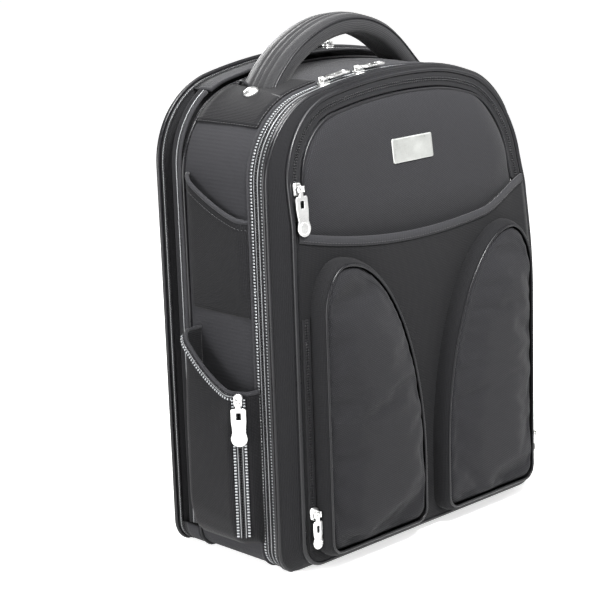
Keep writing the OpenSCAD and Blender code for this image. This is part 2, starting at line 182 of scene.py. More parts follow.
def lean(points, share=1.0):
    """Leans points back about the fold line, easing in over a few centimetres."""
    points = np.array(points, float)
    turn = FRONT_LEAN * share * smooth((points[:, 2] - FOLD_Z + 14 * MM) / (28 * MM))
    dy, dz = points[:, 1] - FRONT_Y, points[:, 2] - FOLD_Z
    points[:, 1] = FRONT_Y + dy * np.cos(turn) + dz * np.sin(turn)
    points[:, 2] = FOLD_Z - dy * np.sin(turn) + dz * np.cos(turn)
    return points


SLUMP_IN = 17 * MM
SLUMP_DOWN = 6 * MM


def slump(points):
    """The soft shell settles at its right top corner, most at the front, and rests flat on the floor."""
    points = np.array(points, float)
    share = (smooth((points[:, 0] - 30 * MM) / (120 * MM)) * smooth((points[:, 2] - 200 * MM) / (170 * MM))
             * (1 - smooth((points[:, 1] + 40 * MM) / (80 * MM))))
    points[:, 0] -= SLUMP_IN * share
    points[:, 2] = np.maximum(points[:, 2] - SLUMP_DOWN * share, 0)
    return points


def blend_rings(a, b, t):
    return a[0] * (1 - t) + b[0] * t, unit(a[1] * (1 - t) + b[1] * t)


def wobble(points, size, scale, seed=0.0):
    """A smooth random number for each point, from -size to size."""
    shift = Vector((seed, seed * 1.7, seed * 0.3))
    return np.array([noise.noise(Vector(p) * scale + shift) for p in points]) * size


def ripple(x, z, scale_x, scale_z, seed):
    """A smooth random number from -1 to 1 for each X, Z point."""
    return np.array([noise.noise(Vector((a * scale_x, seed, b * scale_z))) for a, b in zip(x, z)])


# ---------------------------------------------------------------- meshes

def make(name, verts, faces, uvs, material, body=None, shade=True):
    verts = slump(verts)
    mesh = bpy.data.meshes.new(name)
    mesh.from_pydata([tuple(v) for v in verts], [], faces)
    if uvs is not None:
        layer = mesh.uv_layers.new(name="UVMap")
        layer.data.foreach_set("uv", np.asarray(uvs, np.float32).ravel())
    mesh.polygons.foreach_set("use_smooth", [shade] * len(mesh.polygons))
    mesh.materials.append(material)
    piece = bpy.data.objects.new(name, mesh)
    bpy.context.scene.collection.objects.link(piece)
    if body:
        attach(piece, body)
    return piece


def grid(name, rows, material, body=None, closed=True, wrap=False, ends=False, flip=False):
    """A surface through rows of points. closed joins each row's ends, wrap joins the last row to the first,
    and ends closes the first and last rows of a closed surface with a flat face."""
    rows = np.asarray(rows, float)
    m, n = rows.shape[:2]
    u = lengths(np.concatenate([rows.mean(0), rows.mean(0)[:1]]))
    step = np.linalg.norm(np.diff(np.concatenate([rows, rows[:1]]), axis=0), axis=2).mean(1)
    v = np.concatenate([[0], np.cumsum(step)])
    faces, uvs = [], []
    for i in range(m if wrap else m - 1):
        i2 = (i + 1) % m
        for j in range(n if closed else n - 1):
            j2 = (j + 1) % n
            quad = [(i, j, i, j), (i, j2, i, j + 1), (i2, j2, i + 1, j + 1), (i2, j, i + 1, j)]
            if flip:
                quad = quad[::-1]
            faces.append([a * n + b for a, b, _, _ in quad])
            uvs += [(u[d], v[c]) for _, _, c, d in quad]
    if ends:
        for i, order in ((0, range(n - 1, -1, -1)), (m - 1, range(n))):
            order = list(order) if not flip else list(order)[::-1]
            faces.append([i * n + j for j in order])
            uvs += [(rows[i][j][0], rows[i][j][2]) for j in order]
    return make(name, rows.reshape(-1, 3), faces, uvs, material, body)


def frames_along(path, closed=False, up=None):
    """Tangent and two cross directions at each point of a path, turning as little as possible."""
    if closed:
        tangent = unit(np.roll(path, -1, 0) - np.roll(path, 1, 0))
    else:
        tangent = unit(np.gradient(path, axis=0))
    if up is not None:
        side = unit(np.cross(tangent, up))
        return tangent, side, np.cross(side, tangent)
    normal = np.zeros_like(path)
    start = np.array([0, 0, 1.0]) if abs(tangent[0][2]) < 0.8 else np.array([0, 1.0, 0])
    normal[0] = unit(start - tangent[0] * np.dot(start, tangent[0]))
    for i in range(1, len(path)):
        d = normal[i - 1] - tangent[i] * np.dot(normal[i - 1], tangent[i])
        normal[i] = unit(d)
    return tangent, np.cross(tangent, normal), normal


def tube(name, path, radius, material, body=None, closed=False, sides=10, up=None, flat=1.0):
    """A round cord along a path. flat thins it along its second cross direction."""
    path = np.asarray(path, float)
    _, side, normal = frames_along(path, closed, up)
    radius = np.broadcast_to(np.asarray(radius, float), (len(path),))
    rows = [path + (side * math.cos(a) + normal * math.sin(a) * flat) * radius[:, None]
            for a in around(sides)]
    rows = np.array(rows).transpose(1, 0, 2)
    if closed:
        return grid(name, rows, material, body, closed=True, wrap=True)
    return grid(name, rows, material, body, closed=True, ends=True)


BEAD = np.array([[-1, -1, 0], [1, -1, 0], [1, 1, 0], [-1, 1, 0],
                 [-1, -1, .6], [1, -1, .6], [1, 1, .6], [-1, 1, .6],
                 [-.55, -.55, 1], [.55, -.55, 1], [.55, .55, 1], [-.55, .55, 1]])
BEAD_FACES = [[0, 3, 2, 1], [8, 9, 10, 11]] + [
    [a + k, a + (k + 1) % 4, b + (k + 1) % 4, b + k] for a, b in ((0, 4), (4, 8)) for k in range(4)]


def beads(name, path, across, normal, pitch, size, material, body=None, closed=False):
    """A row of small rounded blocks along a path; size is length, width and height."""
    path, across, normal = (np.asarray(a, float) for a in (path, across, normal))
    if closed:
        path, across, normal = (np.concatenate([a, a[:1]]) for a in (path, across, normal))
    s = lengths(path)
    count = max(2, int(round(s[-1] / pitch)))
    t = (np.arange(count) + 0.5) * s[-1] / count
    pick = lambda a: np.stack([np.interp(t, s, a[:, k]) for k in range(3)], 1)
    centre, side, up = pick(path), unit(pick(across)), unit(pick(normal))
    along = np.cross(side, up)
    half = np.array(size) * np.array([0.5, 0.5, 1])
    verts = (centre[:, None] + along[:, None] * (BEAD[:, 0] * half[0])[None, :, None]
             + side[:, None] * (BEAD[:, 1] * half[1])[None, :, None]
             + up[:, None] * (BEAD[:, 2] * half[2])[None, :, None]).reshape(-1, 3)
    faces = [[k * len(BEAD) + i for i in f] for k in range(count) for f in BEAD_FACES]
    return make(name, verts, faces, None, material, body)


def fill(name, loop, depth, material, body=None, rings=26, centre=None, power=1.0, shape=None):
    """A panel inside a loop of X, Z points.
    depth(x, z, r) gives Y, where r is 1 at the edge and 0 in the middle."""
    loop = np.asarray(loop, float)
    centre = loop.mean(0) if centre is None else np.array(centre)
    n = len(loop)
    radii = np.linspace(0, 1, rings + 1)[1:] ** power
    verts = [[centre[0], centre[1]]]
    for r in radii:
        verts += list(centre + (loop - centre) * r)
    verts = np.array(verts)
    share = np.concatenate([[0], np.repeat(radii, n)])
    y = depth(verts[:, 0], verts[:, 1], share)
    points = upright(verts, y)
    points = shape(points) if shape else points
    faces = [[0, 1 + j, 1 + (j + 1) % n] for j in range(n)]
    for i in range(rings - 1):
        a, b = 1 + i * n, 1 + (i + 1) * n
        faces += [[a + j, b + j, b + (j + 1) % n, a + (j + 1) % n] for j in range(n)]
    uvs = [(points[k][0], points[k][2]) for f in faces for k in f]
    return make(name, points, faces, uvs, material, body)


BOX_FACES = ([0, 2, 3, 1], [4, 5, 7, 6], [0, 1, 5, 4], [2, 6, 7, 3], [0, 4, 6, 2], [1, 3, 7, 5])


def box_mesh(boxes):
    """Vertices and faces of boxes, each given by its lowest and highest corner."""
    verts, faces = [], []
    for lo, hi in boxes:
        k = len(verts)
        verts += [(x, y, z) for z in (lo[2], hi[2]) for y in (lo[1], hi[1]) for x in (lo[0], hi[0])]
        faces += [[k + i for i in face] for face in BOX_FACES]
    return verts, faces


def thicken(piece, thickness, offset=1.0):
    """Gives a sheet its cloth thickness, on the side that offset names, and settles it into the mesh."""
    solid = piece.modifiers.new("thickness", "SOLIDIFY")
    solid.thickness = thickness
    solid.offset = offset
    settle(piece)
    return piece


def settle(piece):
    """Applies a piece's modifiers."""
    graph = bpy.context.evaluated_depsgraph_get()
    mesh = bpy.data.meshes.new_from_object(piece.evaluated_get(graph))
    piece.modifiers.clear()
    piece.data = mesh
    return piece


def positions(mesh):
    """A mesh's points as an array."""
    flat = np.empty(len(mesh.vertices) * 3)
    mesh.vertices.foreach_get("co", flat)
    return flat.reshape(-1, 3)


def box_uvs(mesh):
    """Lays the weave flat on each side of a piece, in metres."""
    layer = mesh.uv_layers.new(name="UVMap")
    for face in mesh.polygons:
        x, y, z = (abs(c) for c in face.normal)
        first, second = (0, 2) if y >= max(x, z) * 0.7 else ((1, 2) if x > z else (0, 1))
        for loop in face.loop_indices:
            co = mesh.vertices[mesh.loops[loop].vertex_index].co
            layer.data[loop].uv = (co[first], co[second])


SWELL_FRAMES = 20
PRESSURE = 4.0
SWELL_CAP = 5 * MM
VOXEL = 4.5 * MM


def swell(piece, pressure, cap, held):
    """Fills a pad by cloth simulation. held(points) is 1 where it is sewn down and 0 where it is free."""
    remesh = piece.modifiers.new("remesh", "REMESH")
    remesh.mode = "VOXEL"
    remesh.voxel_size = VOXEL
    settle(piece)
    start = positions(piece.data)
    group = piece.vertex_groups.new(name="held")
    for index, weight in enumerate(held(start)):
        group.add([index], float(weight), "REPLACE")
    soft = piece.modifiers.new("cloth", "CLOTH")
    soft.settings.quality = 5
    soft.settings.use_pressure = True
    soft.settings.uniform_pressure_force = pressure
    soft.settings.shrink_min = -0.035
    soft.settings.vertex_group_mass = "held"
    soft.settings.effector_weights.gravity = 0
    for number in range(1, SWELL_FRAMES + 1):
        bpy.context.scene.frame_set(number)
    graph = bpy.context.evaluated_depsgraph_get()
    moved = positions(piece.evaluated_get(graph).data) - start
    reach = np.maximum(np.linalg.norm(moved, axis=1), 1e-9)
    moved *= np.minimum(1, cap / reach)[:, None]
    piece.modifiers.clear()
    piece.vertex_groups.clear()
    piece.data.vertices.foreach_set("co", (start + moved).ravel())
    piece.modifiers.new("soft", "SUBSURF").levels = 1
    settle(piece)
    box_uvs(piece.data)
    piece.data.polygons.foreach_set("use_smooth", [True] * len(piece.data.polygons))
    bpy.context.scene.frame_set(1)


def near_loop(points, loop, reach):
    """1 for points within reach of a loop of X, Z points, seen from the front."""
    away = np.linalg.norm(points[:, None, (0, 2)] - loop[None], axis=2).min(1)
    return away < reach


def bevelled(piece, width, segments=2):
    bevel = piece.modifiers.new("edges", "BEVEL")
    bevel.width = width
    bevel.segments = segments
    bevel.limit_method = "ANGLE"
    bevel.harden_normals = False
    settle(piece)
    piece.data.polygons.foreach_set("use_smooth", [True] * len(piece.data.polygons))
    return piece


# ---------------------------------------------------------------- materials

def new_material(name):
    material = bpy.data.materials.new(name)
    material.use_nodes = True
    tree = material.node_tree
    shader = next(n for n in tree.nodes if n.type == "BSDF_PRINCIPLED")
    return material, tree, shader


def add(tree, kind, **values):
    node = tree.nodes.new(kind)
    for key, value in values.items():
        if key in node.inputs:
            node.inputs[key].default_value = value
        else:
            setattr(node, key, value)
    return node


def band(tree, vector, period, direction="X", distortion=0.0):
    """A wave of the given period in metres, from 0 to 1."""
    wave = add(tree, "ShaderNodeTexWave", wave_type="BANDS", bands_direction=direction, wave_profile="SIN")
    wave.inputs["Scale"].default_value = 2 * math.pi / (20 * period)
    wave.inputs["Distortion"].default_value = distortion
    wave.inputs["Detail"].default_value = 1.0
    wave.inputs["Detail Scale"].default_value = 1.5
    tree.links.new(vector, wave.inputs["Vector"])
    return wave.outputs["Fac"]


def maths(tree, operation, a, b):
    node = add(tree, "ShaderNodeMath", operation=operation)
    for socket, value in ((node.inputs[0], a), (node.inputs[1], b)):
        if isinstance(value, (int, float)):
            socket.default_value = value
        else:
            tree.links.new(value, socket)
    return node.outputs[0]


def ramp(tree, fac, stops):
    node = add(tree, "ShaderNodeValToRGB")
    elements = node.color_ramp.elements
    while len(elements) < len(stops):
        elements.new(0.5)
    for element, (place, colour) in zip(elements, stops):
        element.position = place
        element.color = (*colour, 1)
    tree.links.new(fac, node.inputs["Fac"])
    return node.outputs["Color"]


def shade(colour, k):
    return tuple(c * k for c in colour)


def weave_height(tree, uv, kind, pitch):
    """Height of a weave from its kind: plain, twill, rib or dobby."""
    if kind == "rib":
        across = band(tree, uv, pitch, "Y", 0.6)
        along = band(tree, uv, pitch * 2.6, "X", 1.0)
        return maths(tree, "MULTIPLY_ADD", along, 0.25), across
    if kind == "plain":
        return band(tree, uv, pitch, "X", 0.3), band(tree, uv, pitch, "Y", 0.3)
    turned = add(tree, "ShaderNodeMapping")
    turned.inputs["Rotation"].default_value = (0, 0, math.radians(45 if kind == "twill" else 32))
    tree.links.new(uv, turned.inputs["Vector"])
    diagonal = band(tree, turned.outputs["Vector"], pitch, "X", 0.4)
    other = band(tree, turned.outputs["Vector"], pitch * (1.0 if kind == "dobby" else 2.0), "Y", 0.4)
    return diagonal, other


def cloth(name, colour, kind="plain", pitch=1.6 * MM, bump=0.5, rough=0.82, sheen=0.04, depth=0.5 * MM):
    """Woven cloth: threads as height and tone, slow patches of wear, and a soft nap."""
    material, tree, shader = new_material(name)
    uv = add(tree, "ShaderNodeUVMap").outputs["UV"]
    place = add(tree, "ShaderNodeTexCoord").outputs["Object"]
    first, second = weave_height(tree, uv, kind, pitch)
    weave = maths(tree, "MULTIPLY", first, second) if kind != "rib" else maths(tree, "ADD", first, second)
    slow = add(tree, "ShaderNodeTexNoise", Scale=9.0, Detail=4.0, Roughness=0.55)
    fibre = add(tree, "ShaderNodeTexNoise", Scale=900.0, Detail=2.0, Roughness=0.6)
    tree.links.new(place, slow.inputs["Vector"])
    tree.links.new(place, fibre.inputs["Vector"])
    tone = maths(tree, "MULTIPLY_ADD", weave, 0.55)
    tree.nodes[-1].inputs[2].default_value = 0.1
    tone = maths(tree, "ADD", tone, maths(tree, "MULTIPLY", slow.outputs["Fac"], 0.3))
    tone = maths(tree, "ADD", tone, maths(tree, "MULTIPLY", fibre.outputs["Fac"], 0.22))
    tones = [(0.1, shade(colour, 0.35)), (0.55, colour), (1.0, shade(colour, 2.3))]
    tree.links.new(ramp(tree, tone, tones), shader.inputs["Base Color"])
    gloss_range = [(0.3, (rough - 0.08,) * 3), (0.7, (min(1, rough + 0.08),) * 3)]
    rougher = ramp(tree, slow.outputs["Fac"], gloss_range)
    tree.links.new(rougher, shader.inputs["Roughness"])
    shader.inputs["Sheen Weight"].default_value = sheen
    shader.inputs["Sheen Roughness"].default_value = 0.45
    shader.inputs["Specular IOR Level"].default_value = 0.13
    height = maths(tree, "ADD", weave, maths(tree, "MULTIPLY", fibre.outputs["Fac"], 0.5))
    bumps = add(tree, "ShaderNodeBump", Strength=bump, Distance=depth)
    tree.links.new(height, bumps.inputs["Height"])
    tree.links.new(bumps.outputs["Normal"], shader.inputs["Normal"])
    return material


def smooth_material(name, colour, rough, metallic=0.0, grain=0.3, scale=300.0, gloss=0.5):
    """Metal, moulded plastic or coated cord: fine grain, patchy gloss and faint handling marks."""
    material, tree, shader = new_material(name)
    place = add(tree, "ShaderNodeTexCoord").outputs["Object"]
    fine = add(tree, "ShaderNodeTexNoise", Scale=scale, Detail=3.0, Roughness=0.6)
    slow = add(tree, "ShaderNodeTexNoise", Scale=scale / 12, Detail=3.0, Roughness=0.5)
    for node in (fine, slow):
        tree.links.new(place, node.inputs["Vector"])
    mix = maths(tree, "ADD", maths(tree, "MULTIPLY", fine.outputs["Fac"], 0.4),
                maths(tree, "MULTIPLY", slow.outputs["Fac"], 0.6))
    tones = [(0.3, shade(colour, 0.82)), (0.7, shade(colour, 1.1))]
    tree.links.new(ramp(tree, mix, tones), shader.inputs["Base Color"])
    gloss_range = [(0.3, (max(0.03, rough - 0.1),) * 3), (0.7, (rough + 0.12,) * 3)]
    tree.links.new(ramp(tree, mix, gloss_range), shader.inputs["Roughness"])
    shader.inputs["Metallic"].default_value = metallic
    shader.inputs["Specular IOR Level"].default_value = gloss
    bumps = add(tree, "ShaderNodeBump", Strength=grain, Distance=0.05 * MM)
    tree.links.new(fine.outputs["Fac"], bumps.inputs["Height"])
    tree.links.new(bumps.outputs["Normal"], shader.inputs["Normal"])
    return material


CHARCOAL = (0.0105, 0.0105, 0.0118)
SHELL = cloth("ballistic_cloth", shade(CHARCOAL, 0.55), "plain", 1.5 * MM, 0.55)
DOBBY = cloth("dobby_cloth", shade(CHARCOAL, 1.1), "dobby", 1.5 * MM, 0.6)
GRAIN = cloth("ribbed_cloth", shade(CHARCOAL, 0.8), "rib", 1.3 * MM, 0.5)
LINING = cloth("lining_cloth", (0.09, 0.092, 0.10), "twill", 1.0 * MM, 0.3, rough=0.7)
TAPE = cloth("zip_tape", (0.007, 0.007, 0.008), "plain", 0.9 * MM, 0.5, rough=0.75, sheen=0.06)
BINDING = cloth("binding", (0.009, 0.009, 0.010), "rib", 1.1 * MM, 0.5, rough=0.7, sheen=0.08)
WEBBING = cloth("webbing", (0.016, 0.016, 0.017), "twill", 1.8 * MM, 0.8, rough=0.7)
MESH = cloth("air_mesh", (0.016, 0.016, 0.018), "dobby", 3.0 * MM, 1.0, rough=0.9, depth=1.0 * MM)
GRIP = cloth("grip_cloth", (0.0145, 0.0145, 0.0155), "plain", 1.2 * MM, 0.5, rough=0.6, sheen=0.1)
# The ribbed gusset cloth again, darkened to paint the shade that falls on the front section's side band.
SHADED_RIB = cloth("ribbed_cloth_painted_shade", shade(CHARCOAL, 0.3), "rib", 1.3 * MM, 0.5)
CORD = smooth_material("piping_cord", (0.006, 0.006, 0.007), 0.32, grain=0.4, scale=500.0, gloss=0.28)
COIL = smooth_material("grey_coil", (0.17, 0.175, 0.18), 0.35, metallic=0.3)
SILVER = smooth_material("silver_stripe", (0.30, 0.31, 0.32), 0.4, metallic=0.5)
DARK_COIL = smooth_material("dark_coil", (0.008, 0.008, 0.009), 0.4, gloss=0.3)
METAL = smooth_material("satin_nickel", (0.86, 0.86, 0.85), 0.3, metallic=1.0, grain=0.2, scale=700.0)
PLATE = smooth_material("brushed_plate", (0.52, 0.53, 0.51), 0.34, metallic=0.85, grain=0.3, scale=900.0)
BUCKLE = smooth_material("moulded_plastic", (0.014, 0.014, 0.015), 0.42, grain=0.6, scale=900.0)
THREAD = smooth_material("thread", (0.022, 0.022, 0.024), 0.55, grain=0.5, scale=1200.0)


# ---------------------------------------------------------------- camera

CAMERA_AZIMUTH = -44.0
CAMERA_HEIGHT = 13.8
CAMERA_ROLL = -2.0
CAMERA_AT = Vector((-0.0551, 0.0, 0.2091))
CAMERA_AWAY = 1.701
CAMERA_LENS = 114.5


def make_camera():
    a, e = math.radians(CAMERA_AZIMUTH), math.radians(CAMERA_HEIGHT)
    back = Vector((math.sin(a) * math.cos(e), -math.cos(a) * math.cos(e), math.sin(e)))
    data = bpy.data.cameras.new("camera")
    camera = bpy.data.objects.new("camera", data)
    bpy.context.scene.collection.objects.link(camera)
    turn = back.to_track_quat("Z", "Y").to_matrix().to_4x4()
    camera.matrix_world = (Matrix.Translation(CAMERA_AT + back * CAMERA_AWAY) @ turn
                           @ Matrix.Rotation(math.radians(CAMERA_ROLL), 4, "Z"))
    data.lens = CAMERA_LENS
    data.sensor_width = 36
    data.clip_end = 50
    bpy.context.scene.camera = camera


make_camera()


# ---------------------------------------------------------------- zips

TAPE_W = 7.4 * MM
NARROW_TAPE_W = 5.6 * MM
COIL_PITCH = 2.3 * MM
STRIPE_PITCH = 2.7 * MM


ZIP_SINK = 0.8 * MM


def zip_half(name, path, away, normal, body, width=TAPE_W, closed=False, bright=True, stripe=True,
             sink=ZIP_SINK):
    """One half of a zip: tape from the centre line outwards along away, its coil, and a dotted stripe."""
    path, away, normal = (np.asarray(a, float) for a in (path, away, normal))
    base = path - normal * sink
    rows = [base + away * (0.35 * MM + width * t) + normal * h * MM
            for t, h in ((0, -0.9), (0, 0.1), (0.18, 0.25), (0.5, 0.1), (0.85, 0.15), (1, 0.3), (1, -0.9))]
    tape = grid(name + "_tape", rows, TAPE, body, closed=closed, wrap=True)
    beads(name + "_coil", base + away * 0.95 * MM, away, normal, COIL_PITCH,
          (1.2 * MM, 1.5 * MM, 1.2 * MM), DARK_COIL, body, closed)
    if bright:
        tube(name + "_line", base + away * 2.1 * MM + normal * 0.45 * MM, 0.5 * MM, COIL, body,
             closed=closed, sides=6)
    if stripe:
        beads(name + "_stripe", base + away * width * 0.84, away, normal, STRIPE_PITCH,
              (1.4 * MM, 2.2 * MM, 0.6 * MM), SILVER, body, closed)
    return tape


def ring_normals(ring):
    return upright(ring[1], 0)


def along_x(n, sign):
    return np.tile([float(sign), 0.0, 0.0], (n, 1))


def along_y(n, sign):
    return np.tile([0.0, sign, 0.0], (n, 1))


# ---------------------------------------------------------------- main body

def soft_ring(ring, y0, y1, rows, out, sag, seed, pillow=0.0):
    """Rows of a fabric band that follows a ring from y0 to y1, slightly pillowed and uneven."""
    made = []
    for t in np.linspace(0, 1, rows):
        y = y0 + (y1 - y0) * t
        base = at(ring, out, y)
        near_edge = math.sin(math.pi * (t * 0.96 + 0.02))
        push = pillow * math.sin(math.pi * t) + wobble(base, sag, 14.0, seed) * near_edge
        low = smooth((base[:, 2] - 4 * MM) / (30 * MM))
        made.append(base + ring_normals(ring) * (push * low)[:, None])
    return made


def build_main_body():
    rows = soft_ring(RIM, REAR_Y, GUSSET_Y, 24, 0, 1.6 * MM, 3.1, pillow=1.2 * MM)
    shell = grid("main_shell", rows, GRAIN, None)
    thicken(shell, 2.4 * MM, -1)
    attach(shell, "main_body")
    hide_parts("main_gusset")
    lining = grid("main_lining", [at(RIM, -3.2 * MM, y) for y in np.linspace(REAR_Y - 8 * MM, GUSSET_Y, 6)],
                  LINING, None, flip=True)
    thicken(lining, 0.6 * MM, 1)
    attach(lining, "main_body")
    tube("rear_seam_cord", at(RIM, 0.8 * MM, REAR_Y), 1.7 * MM, CORD, "main_body", closed=True)
    tube("zip_edge_binding", at(RIM, 0.2 * MM, GUSSET_Y + 1.2 * MM), 1.3 * MM, BINDING, "main_body",
         closed=True)


def build_main_zip():
    normal = ring_normals(RIM)
    centre = at(RIM, 0, ZIP_Y)
    rear = zip_half("main_zip_rear", centre, along_y(STEPS, 1.0), normal, "main_body", closed=True)
    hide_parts("main_zip_rear")
    front = zip_half("main_zip_front", centre, along_y(STEPS, -1.0), normal, "front_section", closed=True)
    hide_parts("main_zip_front")


def panel_inside(name, inset, y0, y1, body, bow):
    """A thin padded wall inside the rim, between two planes."""
    loop = RIM[0][::2] - RIM[1][::2] * inset
    faces = [fill(name + part, loop, lambda x, z, r: y - sign * bow * (1 - r ** 4), LINING, None,
                  12)
             for part, sign, y in (("_a", 1, y0), ("_b", -1, y1))]
    edge = grid(name + "_edge", [upright(loop, y) for y in (y0, y1)], LINING, None)
    return join(name, faces + [edge], body)


def join(name, pieces, body=None):
    """Joins meshes into one and welds the edges that meet."""
    made = bmesh.new()
    for piece in pieces:
        made.from_mesh(piece.data)
    bmesh.ops.remove_doubles(made, verts=made.verts, dist=0.02 * MM)
    bmesh.ops.recalc_face_normals(made, faces=made.faces)
    first = pieces[0]
    made.to_mesh(first.data)
    made.free()
    for piece in pieces[1:]:
        bpy.data.objects.remove(piece)
    first.name = name
    first.data.name = name
    if body:
        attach(first, body)
    return first


def build_walls():
    lo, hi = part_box("divider_panel")
    wall = panel_inside("divider_wall", 3.4 * MM, lo.y + 0.5 * MM, hi.y - 0.3 * MM, "main_body", 1.5 * MM)
    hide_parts("divider_panel")
    lo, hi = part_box("front_inner_wall")
    wall = panel_inside("front_section_lining", 6.4 * MM, lo.y, hi.y, "front_section", 0.4 * MM)
    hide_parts("front_inner_wall")
    lo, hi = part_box("base_board")
    verts, faces = box_mesh([(lo, hi)])
    board = make("base_stiffener", verts, faces, [(0, 0)] * 24, LINING, None)
    bevelled(board, 1.0 * MM, 3)
    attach(board, "main_body")
    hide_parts("base_board")


build_main_body()
build_main_zip()
build_walls()


# ---------------------------------------------------------------- front section

RIM_CORD_R = 1.8 * MM


def build_front_gusset():
    rows = []
    for t in np.linspace(0, 1, 14):
        ring = blend_rings(RIM, FRONT, t)
        y = PIPE_LO + (FRONT_Y - PIPE_LO) * t
        base = at(ring, 0, y)
        push = 1.6 * MM * math.sin(math.pi * t) + wobble(base, 0.9 * MM, 20.0, 8.0) * math.sin(math.pi * t)
        low = smooth((base[:, 2] - 4 * MM) / (30 * MM))
        rows.append(lean(base + ring_normals(ring) * (push * low)[:, None], t))
    # The side band wears the darkened ribbed cloth: painted shade.
    band_piece = grid("front_side_band", rows, SHADED_RIB, None)
    thicken(band_piece, 2.2 * MM, -1)
    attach(band_piece, "front_section")
    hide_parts("front_gusset")
    for part, y in (("a", PIPE_HI - 1.9 * MM), ("b", PIPE_LO + 1.7 * MM)):
        path = at(RIM, 0.2 * MM, y)
        path[:, 2] = np.maximum(path[:, 2], RIM_CORD_R)
        tube(f"rim_cord_{part}", path, RIM_CORD_R, CORD, "front_section", closed=True)
    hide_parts("rim_piping")
    cord = tube("front_edge_cord", lean(at(FRONT, 0, FRONT_Y - 1.6 * MM)), 2.0 * MM, CORD, "front_section",
                closed=True)
    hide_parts("front_piping")


HEM_LOW, HEM_HIGH = 278 * MM, 297 * MM
HEM_DRAWN_UP = 12 * MM
PANEL_MID_Z = 150 * MM


def hem_z(x):
    """Height of the open pocket's hem; its right end is drawn up."""
    drawn_up = HEM_DRAWN_UP * smooth((x - 80 * MM) / (70 * MM))
    return HEM_LOW + (HEM_HIGH - HEM_LOW) * (x / PANEL_HI.x) ** 2 + drawn_up


def cut_above(loop, height):
    """Lowers the points of an X, Z loop that stand above height(x)."""
    made = loop.copy()
    made[:, 1] = np.minimum(made[:, 1], height(made[:, 0]))
    return made


POCKET_BOW = 5.0 * MM


def lower_depth(x, z):
    """Y of the lower panel's outer face: flat low down, bowed out at the open pocket's hem."""
    near = smooth((z - 215 * MM) / (75 * MM))
    across = 1 - np.clip(np.abs(x) / (PANEL_HI.x - 4 * MM), 0, 1) ** 2.4
    return LOWER_Y - POCKET_BOW * near * across


def build_lower_panel():
    loop = FRONT[0] - FRONT[1] * 1.6 * MM
    half = np.linspace(PANEL_HI.x, -PANEL_HI.x, 90)
    low = loop[loop[:, 1] < HEM_HIGH - 1 * MM]
    whole = np.concatenate([low, np.stack([half, hem_z(half)], 1)])
    whole = whole[np.argsort(np.arctan2(whole[:, 1] - PANEL_MID_Z, whole[:, 0]))]
    whole = resample(whole, 300, closed=True)

    def depth(x, z, r):
        return lower_depth(x, z) + ripple(x, z, 14, 9, 0.4) * 0.9 * MM * smooth((1 - r) * 6)

    panel = fill("lower_front", whole, depth, SHELL, None, 34, centre=(0, PANEL_MID_Z))
    thicken(panel, 2.2 * MM, -1)
    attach(panel, "front_section")
    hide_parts("lower_panel")

    x = np.linspace(-PANEL_HI.x + 1 * MM, PANEL_HI.x - 1 * MM, 120)
    z = hem_z(x)
    on_hem = lambda up, out: xyz(x, lower_depth(x, z + up * MM) + out * MM, z + up * MM)
    section = ((0.8, 0.6), (1.2, -0.7), (0.4, -1.6), (-2.5, -1.7), (-6.0, -1.5), (-7.2, -1.1), (-7.4, 0.2))
    hem_piece = grid("pocket_hem_binding", [on_hem(*corner) for corner in section], BINDING, "front_section",
                     closed=False, wrap=True)
    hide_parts("pocket_hem")
    stitches("hem_stitch", on_hem(-5, -1.9), along_y(len(x), -1.0), "front_section")


STITCH_PITCH = 3.2 * MM
STITCH = (2.2 * MM, 0.5 * MM, 0.35 * MM)


def stitches(name, path, normal, body):
    """A row of thread stitches that lie on a surface."""
    path = np.asarray(path, float)
    tangent = unit(np.gradient(path, axis=0))
    across = unit(np.cross(normal, tangent))
    return beads(name, path, across, normal, STITCH_PITCH, STITCH, THREAD, body)


def build_slip_wall():
    lo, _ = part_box("slip_back_wall")
    loop = FRONT[0] - FRONT[1] * 9 * MM
    loop = cut_above(loop, lambda x: np.full(len(x), 262 * MM))
    wall = fill("slip_pocket_back", resample(loop, 200, closed=True),
                lambda x, z, r: np.full(len(x), lo.y + 0.4 * MM), LINING, None, 10,
                centre=(0, 130 * MM))
    thicken(wall, 1.4 * MM, 1)
    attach(wall, "front_section")
    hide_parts("slip_back_wall")


DOME_UP = 8 * MM
PANEL_FOOT = 256 * MM


def dome_depth(x, z):
    """Y of the upper panel: a soft dome above the open pocket that flattens behind the hem."""
    corner_z = FRONT_LIFT + FRONT_H - FLAP_IN
    side = np.clip((FLAP_HW - np.abs(x)) / (30 * MM), 0, 1)
    top_line = corner_z - (CROWN_R - np.sqrt(CROWN_R ** 2 - x ** 2))
    top = np.clip((top_line - z) / (34 * MM), 0, 1)
    corner = np.clip(1 - np.hypot(np.clip(np.abs(x) - (FLAP_HW - 52 * MM), 0, 1),
                                  np.clip(z - (top_line - 52 * MM), 0, 1)) / (52 * MM), 0, 1) * 1.6
    edge = np.minimum(np.minimum(side, top), np.clip(corner, 0, 1))
    rise = np.sqrt(np.clip(edge * (2 - edge), 0, 1))
    low = smooth((z - hem_z(x) + 14 * MM) / (48 * MM))
    return -rise * DOME_UP * (0.12 + 0.88 * low)


